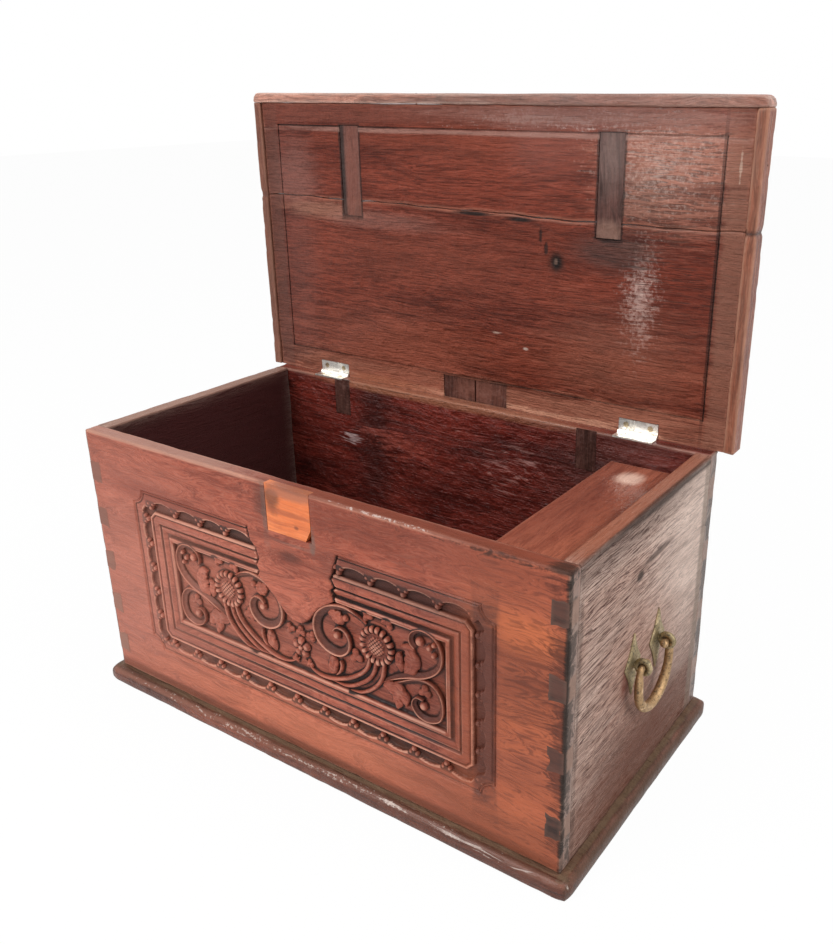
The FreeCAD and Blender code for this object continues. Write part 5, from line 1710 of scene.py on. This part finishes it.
@dataclass
class Plinth:
    """The two bottom planks: a ledge and a worn, rounded nose round three sides of each."""

    half_width: float = 313.0
    front: float = -168.0
    rear: float = 165.0
    joint: float = 28.0
    overhang: float = 14.0

    # The edge from the underside round to the ledge: outset, level, wear and dirt
    PROFILE = (
        (0.0, 0.0, 0.0, 0.0), (9.0, 0.0, 0.0, 0.0), (12.4, 0.0, 0.3, 0.0), (13.4, 0.5, 0.6, 0.3),
        (13.9, 1.6, 0.5, 0.2), (14.0, 4.5, 0.2, 0.0), (14.0, 9.5, 0.3, 0.0), (13.6, 12.2, 0.7, 0.0),
        (12.6, 14.3, 1.0, 0.0), (11.0, 15.8, 1.0, 0.0), (9.0, 16.7, 0.7, 0.0), (6.5, 17.1, 0.4, 0.0),
        (3.5, 17.4, 0.3, 0.0), (1.6, 17.6, 0.1, 0.2), (0.0, 17.9, 0.0, 0.5),
    )

    def plank(self, end: float, seed: int) -> Shape:
        """One plank: the edge's profile is carried round from the joint to the joint.

        A station's place is a point of the inner rectangle plus the profile's outset along the
        outward way, which turns at the corners and is longest half-way round, so that they come
        out square with a worn round.

        Args:
            end: the y of the plank's outer long edge.
            seed: the seed of its wear.

        Returns:
            The closed plank.
        """
        way = 1.0 if end > self.joint else -1.0
        inner = self.half_width - self.overhang
        edge = end - way * self.overhang
        side = np.linspace(self.joint + way * 0.25, edge, 40)
        turn = np.linspace(0.0, 0.5 * math.pi, 9)[1:-1]
        across = np.linspace(inner, -inner, 130)
        spots = np.concatenate([
            np.stack([np.full_like(side, inner), side], 1),
            np.tile([[inner, edge]], (len(turn), 1)),
            np.stack([across, np.full_like(across, edge)], 1),
            np.tile([[-inner, edge]], (len(turn), 1)),
            np.stack([np.full_like(side, -inner), side[::-1]], 1),
        ])
        ways = np.concatenate([
            np.tile([[1.0, 0.0]], (len(side), 1)),
            np.stack([np.cos(turn), way * np.sin(turn)], 1),
            np.tile([[0.0, way]], (len(across), 1)),
            np.stack([-np.sin(turn), way * np.cos(turn)], 1),
            np.tile([[-1.0, 0.0]], (len(side), 1)),
        ])
        ways /= np.abs(ways).max(1, keepdims=True) ** 0.5
        table = np.array(self.PROFILE)
        profile, wear, dirt = table[:, :2], table[:, 2], table[:, 3]
        points = np.empty((len(spots), len(profile), 3))
        points[..., :2] = spots[:, None, :] + ways[:, None, :] * profile[None, :, :1]
        points[..., 2] = profile[None, :, 1]
        chip = 0.9 * unit(Ripple(seed + 1, 22.0).at(points) - 0.3)
        move = (0.35 * Ripple(seed, 60.0).at(points) - chip - 0.3) * wear
        points[..., :2] += ways[:, None, :] * move[..., None]
        points[..., 2] += 0.5 * move * (profile[:, 1] > 8.0)[None, :]
        rows, columns = points.shape[:2]
        number = np.arange(rows * columns).reshape(rows, columns)
        joint = np.concatenate([number[0, ::-1], number[-1, :]])[None, :]
        faces = [cells(number), number[:, 0][None, :], number[::-1, -1][None, :], joint]
        shape = Shape(points.reshape(-1, 3), faces, np.tile(wear, rows), np.tile(dirt, rows))
        return shape.outward()

    def build(self) -> None:
        """Makes both planks and dresses the nails under them."""
        wood = BASE_WOOD.dress()
        for word, edge, seed in (("front", self.front, 61), ("rear", self.rear, 67)):
            name, node = f"bottom_{word}_plank_worn", f"bottom_{word}_board"
            add_piece(name, self.plank(edge, seed), wood, Body.CHEST, [node])
        dress_nodes(["bottom_nails"], NAIL_IRON.dress())


@dataclass
class Lid:
    """The open lid: two boards with a ragged joint, lips on three sides, slips and hinge beds."""

    half_width: float = 306.5
    inner: float = LID_FACE
    outer: float = 172.5
    low: float = 318.1
    joint: float = 535.5
    joint_gap: float = 0.4
    high: float = 644.5
    lip: float = 11.0
    lip_drop: float = 151.5
    corner: float = 8.5
    bed: Pair = (189.2, 234.8)
    line: float = 1.6

    def wander(self, across: Array) -> Array:
        """How far the ragged joint strays from its level: a slow bow and two quicker waves."""
        slow = 2.5 * np.cos((across + 250.0) / 190.0) + 3.0 * ease(across, 150.0, 300.0)
        return slow + 0.7 * np.sin(across / 23.0) + 0.4 * np.sin(across / 7.7 + 1.0)

    def scored(self) -> list[tuple[Pair, Pair]]:
        """The scored frame's four lines as rectangles on the inner face."""
        side, low, high = self.half_width - 24.0, self.low + 28.0, self.high - 24.0
        return [
            ((-side, low), (side, low + self.line)),
            ((-side, high - self.line), (side, high)),
            ((-side, low), (-side + self.line, high)),
            ((side - self.line, low), (side, high)),
        ]

    def beds(self) -> tuple[Pocket, ...]:
        """All beds and scored lines of the inner face."""
        made = [Pocket(1, -1, low, high, 0.9, 0.85) for low, high in self.scored()]
        for side in (-1, 1):
            ends = sorted((side * self.bed[0], side * self.bed[1]))
            made.append(Pocket(1, -1, (ends[0], self.low - 1.0), (ends[1], 334.0), 1.25, 0.3))
        for low, high in (((-184.0, 519.0), (-156.0, 621.0)), ((152.0, 519.0), (180.0, 621.0))):
            made.append(Pocket(1, -1, low, high, 2.6, 1.0))
        made.append(Pocket(1, -1, (-40.5, self.low - 1.0), (47.5, 344.6), 4.5, 1.0))
        return tuple(made)

    def board(self, low: float, high: float, ripple: float, seed: int) -> Board:
        """A board of the lid from one level to another, with the beds of the inner face."""
        near, far = (-self.half_width, self.inner, low), (self.half_width, self.outer, high)
        return Board(near, far, 1.1, 9.0, ripple, chips=0.5, seed=seed, pockets=self.beds())

    def rear_board(self) -> Shape:
        """The hinge-side board, its upper edge following the ragged joint."""
        board = self.board(self.low, self.joint - self.joint_gap, ripple=0.35, seed=81)
        return board.shape(self.follow_joint, self.over_wall)

    def front_board(self) -> Shape:
        """The narrower board beyond the joint, its lower edge following the ragged joint."""
        board = self.board(self.joint + self.joint_gap, self.high, ripple=0.45, seed=83)
        return board.shape(self.follow_joint)

    def over_wall(self, points: Array) -> Array:
        """Picks the rear board's lower inner edge, where it comes down on the wall."""
        return (points[:, 1] < self.inner + 9.0) & (points[:, 2] < self.low + 3.0)

    def follow_joint(self, points: Array) -> Array:
        """Moves points near the joint up or down with its wander, fading out 40 mm away."""
        share = 1.0 - ease(np.abs(points[:, 2] - self.joint), 4.0, 40.0)
        points[:, 2] += share * self.wander(points[:, 0])
        return points

    def side_lip(self, side: int) -> Shape:
        """A side lip, nicked where the boards meet."""
        low = (self.half_width, self.lip_drop, self.low)
        high = (self.half_width + self.lip, self.outer, self.high)
        made = Board(low, high, radius=1.5, spacing=4.0, ripple=0.30, chips=1.2, seed=91 + side).shape()
        level = self.joint + self.wander(np.array([side * self.half_width]))[0]
        nick = bell(made.points[:, 2], level, 2.2)
        made.points[:, 1] += 2.4 * nick * (made.points[:, 1] < self.lip_drop + 6.0)
        made.points[:, 0] -= 2.2 * nick * (made.points[:, 0] > self.half_width + 6.0)
        made.sunk = np.maximum(made.sunk, 0.8 * nick)
        return made.on_side(side)

    def front_lip(self) -> Shape:
        """The lip along the lid's front edge."""
        low = (-self.half_width - self.lip, self.lip_drop, self.high)
        high = (self.half_width + self.lip, self.outer, self.high + self.lip)
        board = Board(low, high, radius=1.8, spacing=5.0, ripple=0.35, chips=1.4, seed=95)
        return board.shape(self.round_corner)

    def round_corner(self, points: Array) -> Array:
        """Draws in the lid's two far corners: within the radius of one, squares become circles."""
        middle = np.array([self.half_width + self.lip, self.high + self.lip]) - self.corner
        beyond = np.stack([np.abs(points[:, 0]), points[:, 2]], 1) - middle
        round_ = np.clip(beyond, 0.0, None)
        share = round_.max(1) / np.maximum(np.hypot(round_[:, 0], round_[:, 1]), 1e-9)
        moved = np.where(round_.min(1, keepdims=True) > 0, beyond * share[:, None], beyond) + middle
        points[:, 0] = np.sign(points[:, 0]) * moved[:, 0]
        points[:, 2] = moved[:, 1]
        return points

    def build(self) -> None:
        """Makes the lid's pieces and dresses its slips, dowels and brads."""
        wood, lip = LID_WOOD.dress(), LIP_WOOD.dress()
        side_lip, slip = SIDE_LIP_WOOD.dress(), SLIP_WOOD.dress()
        pieces = (
            ("lid_rear_board", self.rear_board(), wood, LID_WOOD.slot),
            ("lid_front_board", self.front_board(), wood, LID_WOOD.slot),
            ("lid_lip_front", self.front_lip(), lip, LIP_WOOD.slot),
            ("lid_lip_right", self.side_lip(1), side_lip, SIDE_LIP_WOOD.slot),
            ("lid_lip_left", self.side_lip(-1), side_lip, SIDE_LIP_WOOD.slot),
        )
        for node, shape, finish, slot in pieces:
            add_piece(f"{node}_worn", shape, finish, Body.LID, [node])
        for word in ("left", "right"):
            dress_nodes([f"lid_slip_{word}", f"lid_lock_slip_{word}", f"back_slip_{word}"], slip)
        dress_nodes(["lid_dowels"], slip)
        dress_nodes(["lid_brads"], NAIL_IRON.dress())


@dataclass
class Till:
    """The small box at the right end with its pivoted lid."""

    low: Triple = (190.0, -138.4, 281.0)
    high: Triple = (281.7, 138.4, 290.0)
    pivot: Pair = (271.0, 285.5)
    pin_radius: float = 4.0
    pin_end: float = 149.0

    def cover(self) -> Shape:
        """The till's lid with its two pivot pins: a worn board and two capped rods."""
        board = Board(self.low, self.high, radius=2.0, spacing=8.0, ripple=0.25, seed=101).shape()
        angle = circle(20)
        rods = []
        for side in (-1, 1):
            along = side * np.linspace(self.high[1] - 6.0, self.pin_end, 5)
            across = self.pivot[0] + self.pin_radius * np.cos(angle)
            up = self.pivot[1] + self.pin_radius * np.sin(angle)
            rods.append(capped_tube(stacked(across, along[:, None], up)))
        return Shape.joined([board, *rods])

    def build(self) -> None:
        """Makes the till's lid and dresses its side and bottom."""
        wood = TILL_WOOD.dress()
        add_piece("till_lid_worn", self.cover(), wood, Body.TILL, ["till_lid"])
        dress_nodes(["till_side", "till_bottom"], wood)


@dataclass
class EndHandle:
    """One end's bail handle: kite plates, eyes and a swinging bail with knobbed ends."""

    side: int = 1
    word: str = "right"
    body: Body = Body.RIGHT
    wall: float = 300.0
    swing: Pair = (311.5, 166.0)
    plate_place: float = 27.5
    plate_half: float = 17.0
    plate_up: float = 33.0
    plate_down: float = 34.5
    bow: float = 35.0
    bow_level: float = 146.0
    knob_place: float = 20.0
    knob: float = 4.2
    pin: float = 3.2
    bar: float = 4.2

    def plate(self, place: float) -> Shape:
        """A kite plate: rings from its middle to a kite outline, low in the middle fall and bevelled.

        Args:
            place: the y of the plate's middle.

        Returns:
            The closed plate.
        """
        half, up, down = self.plate_half, self.plate_up, self.plate_down
        corner = np.array([(half, 0.0), (0.0, up), (-half, 0.0), (0.0, -down), (half, 0.0)])
        share = np.linspace(0.0, 4.0, 48, endpoint=False)
        piece = share.astype(int)
        part = (share - piece)[:, None]
        rim = corner[piece] * (1 - part) + corner[piece + 1] * part
        rim = rim * (1.0 - 0.10 * np.sin(math.pi * part) ** 2)
        grow = np.array([0.05, 0.3, 0.55, 0.75, 0.86, 0.94, 1.0, 1.0])[:, None]
        tall = np.array([2.6, 2.6, 2.5, 2.3, 2.1, 1.7, 0.9, 0.0])[:, None]
        ring = stacked(self.wall + tall, place + grow * rim[:, 0], self.swing[1] + grow * rim[:, 1])
        dent = 0.25 * Ripple(121 + int(place), 9.0).at(ring)
        ring[:-2, :, 0] += dent[:-2]
        return capped_tube(ring).on_side(self.side)

    def bail(self) -> Shape:
        """The bail: a round bar along knob, pin, leg and bow.

        Its radius grows smoothly from the pin to the bow, and follows a ball at each knob.
        """
        depth, level = self.swing
        turn = np.linspace(0.5 * TURN, TURN, 13)
        bow = np.stack([self.bow * np.cos(turn), self.bow_level + self.bow * np.sin(turn)], 1)
        start = self.knob_place - self.knob + 0.1
        ends = [
            *((-across, level) for across in (start, self.knob_place, 24.0, self.plate_place, 31.0)),
            (-self.bow + 1.0, level - 1.6), (-self.bow, level - 6.0), (-self.bow, self.bow_level + 5.0),
        ]
        path = np.array(ends + [tuple(spot) for spot in bow] + [(-across, up) for across, up in ends[::-1]])
        path = smooth_path(path, 190)
        out, fall = np.abs(path[:, 0]), level - path[:, 1]
        radius = self.pin + (self.bar - self.pin) * ease(fall, 3.0, 16.0) + 0.8 * ease(fall, 24.0, 50.0)
        ball = np.sqrt(np.clip(1.0 - ((out - self.knob_place) / self.knob) ** 2, 0.002, 1.0))
        rod = self.pin * (out > self.knob_place)
        radius = np.where((fall < 3.0) & (out < 24.6), np.maximum(rod, self.knob * ball), radius)
        slope = np.gradient(path, axis=0)
        slope /= np.linalg.norm(slope, axis=1, keepdims=True)
        angle = circle(16)
        thick = radius[:, None]
        along = path[:, :1] - slope[:, 1:] * thick * np.sin(angle)
        up = path[:, 1:] + slope[:, :1] * thick * np.sin(angle)
        ring = stacked(depth + thick * np.cos(angle), along, up)
        return capped_tube(ring).on_side(self.side)

    def build(self, brass: Material, green: Material) -> None:
        """Makes the plates in green brass and the bail in brass, and dresses the eyes and washers."""
        for place, word in ((-self.plate_place, "front"), (self.plate_place, "rear")):
            node = f"{self.word}_plate_{word}"
            shape, slot = self.plate(place), HANDLE_BRASS.slot
            add_piece(f"{node}_beaten", shape, green, Body.CHEST, [node], sharp=30.0)
            dress_nodes([f"{self.word}_eye_{word}"], green)
        node = f"{self.word}_bail"
        add_piece(f"{node}_forged", self.bail(), brass, self.body, [node])
        dress_nodes([f"{self.word}_washers"], brass)


@dataclass
class Hinges:
    """The butt hinges and their screws."""

    sides: tuple[str, str] = ("left", "right")

    def build(self) -> None:
        """Dresses the leaves, pins and screws."""
        steel, brass = HINGE_STEEL.dress(), SCREW_BRASS.dress()
        for side in self.sides:
            dress_nodes([f"hinge_leaf_lower_{side}", f"hinge_leaf_upper_{side}", f"hinge_pin_{side}"], steel)
        dress_nodes(["hinge_screws_lower", "hinge_screws_upper"], brass)


@dataclass(frozen=True)
class Lamp:
    """A square soft lamp: where it is, what it looks at, its size in metres and its power in watts."""

    name: str
    at: Triple
    aim: Triple
    size: float
    power: float

    def build(self) -> None:
        """Puts the lamp in the scene."""
        light = bpy.data.lights.new(self.name, "AREA")
        light.size = self.size
        light.energy = self.power
        made = placed(self.name, light)
        made.location = self.at
        away = np.array(self.at) - np.array(self.aim)
        tilt = math.atan2(math.hypot(away[0], away[1]), away[2])
        made.rotation_euler = (tilt, 0.0, math.atan2(away[0], -away[1]))


@dataclass
class Studio:
    """The white floor, the soft lamps and the camera."""

    eye: Triple = (0.59555, -0.72927, 0.66497)
    turn: Triple = (67.8904, 0.1915, 33.6483)
    lens: float = 36.18
    shift: Pair = (-0.0634, -0.0032)
    floor_size: float = 9.0
    floor_white: float = 0.97
    sky: float = 0.34

    FLOOR_GREY = (0.93, 0.93, 0.93, 1.0)
    LAMPS = (
        Lamp("key", (-0.9, -2.0, 2.3), (0.0, 0.0, 0.25), 1.6, 48.0),
        Lamp("side", (2.3, 0.2, 1.9), (0.25, 0.0, 0.2), 1.2, 34.0),
        Lamp("top", (0.2, 0.2, 2.8), (0.0, 0.0, 0.3), 1.8, 18.0),
        Lamp("window", (-1.1, -2.6, 0.75), (0.2, 0.15, 0.55), 0.9, 12.0),
    )

    def floor(self) -> None:
        """A wide white floor that keeps a faint shadow for the camera."""
        recipe = Recipe(bpy.data.materials.new("white floor"))
        white = recipe.node("ShaderNodeEmission", {}, {"Color": WHITE, "Strength": 1.0})
        matt = recipe.node("ShaderNodeBsdfDiffuse", {}, {"Color": self.FLOOR_GREY})
        share = recipe.shown() * self.floor_white
        recipe.end(recipe.node("ShaderNodeMixShader", {}, {0: share, 1: matt, 2: white}))
        size = self.floor_size
        corners = [(-size, -size, 0), (size, -size, 0), (size, size, 0), (-size, size, 0)]
        mesh = bpy.data.meshes.new("floor")
        mesh.from_pydata(corners, [], [(0, 1, 2, 3)])
        made = placed("floor", mesh)
        made.data.materials.append(recipe.owner)

    def world(self) -> None:
        """An even sky that lights at a level and shows white to the camera and in reflections."""
        world = bpy.data.worlds.new("studio")
        bpy.context.scene.world = world
        recipe = Recipe(world)
        strength = recipe.node("ShaderNodeMapRange", {}, {"Value": recipe.shown(), "To Min": self.sky})
        sky = recipe.node("ShaderNodeBackground", {}, {"Color": WHITE, "Strength": strength})
        recipe.end(sky, "ShaderNodeOutputWorld")

    def camera(self) -> None:
        """The camera at the photograph's place."""
        data = bpy.data.cameras.new("camera")
        data.sensor_width = 36.0
        data.lens = self.lens
        data.shift_x, data.shift_y = self.shift
        data.clip_end = 50.0
        made = placed("camera", data)
        made.location = self.eye
        made.rotation_euler = tuple(math.radians(angle) for angle in self.turn)
        bpy.context.scene.camera = made

    def build(self) -> None:
        """Sets the stage."""
        bpy.context.scene.view_settings.view_transform = "Standard"
        self.floor()
        self.world()
        for lamp in self.LAMPS:
            lamp.build()
        self.camera()


def main() -> None:
    """Builds every sub-assembly in order."""
    logging.basicConfig(level=logging.INFO, format="%(name)s: %(message)s")
    Studio().build()
    front = FRONT_WOOD.dress()
    Carcase().build(front)
    CarvedPanel().build(front)
    Plinth().build()
    Lid().build()
    Till().build()
    Hinges().build()
    brass, green = HANDLE_BRASS.dress(), PLATE_BRASS.dress()
    EndHandle(1, "right", Body.RIGHT).build(brass, green)
    EndHandle(-1, "left", Body.LEFT).build(brass, green)


if __name__ == "__main__":
    main()
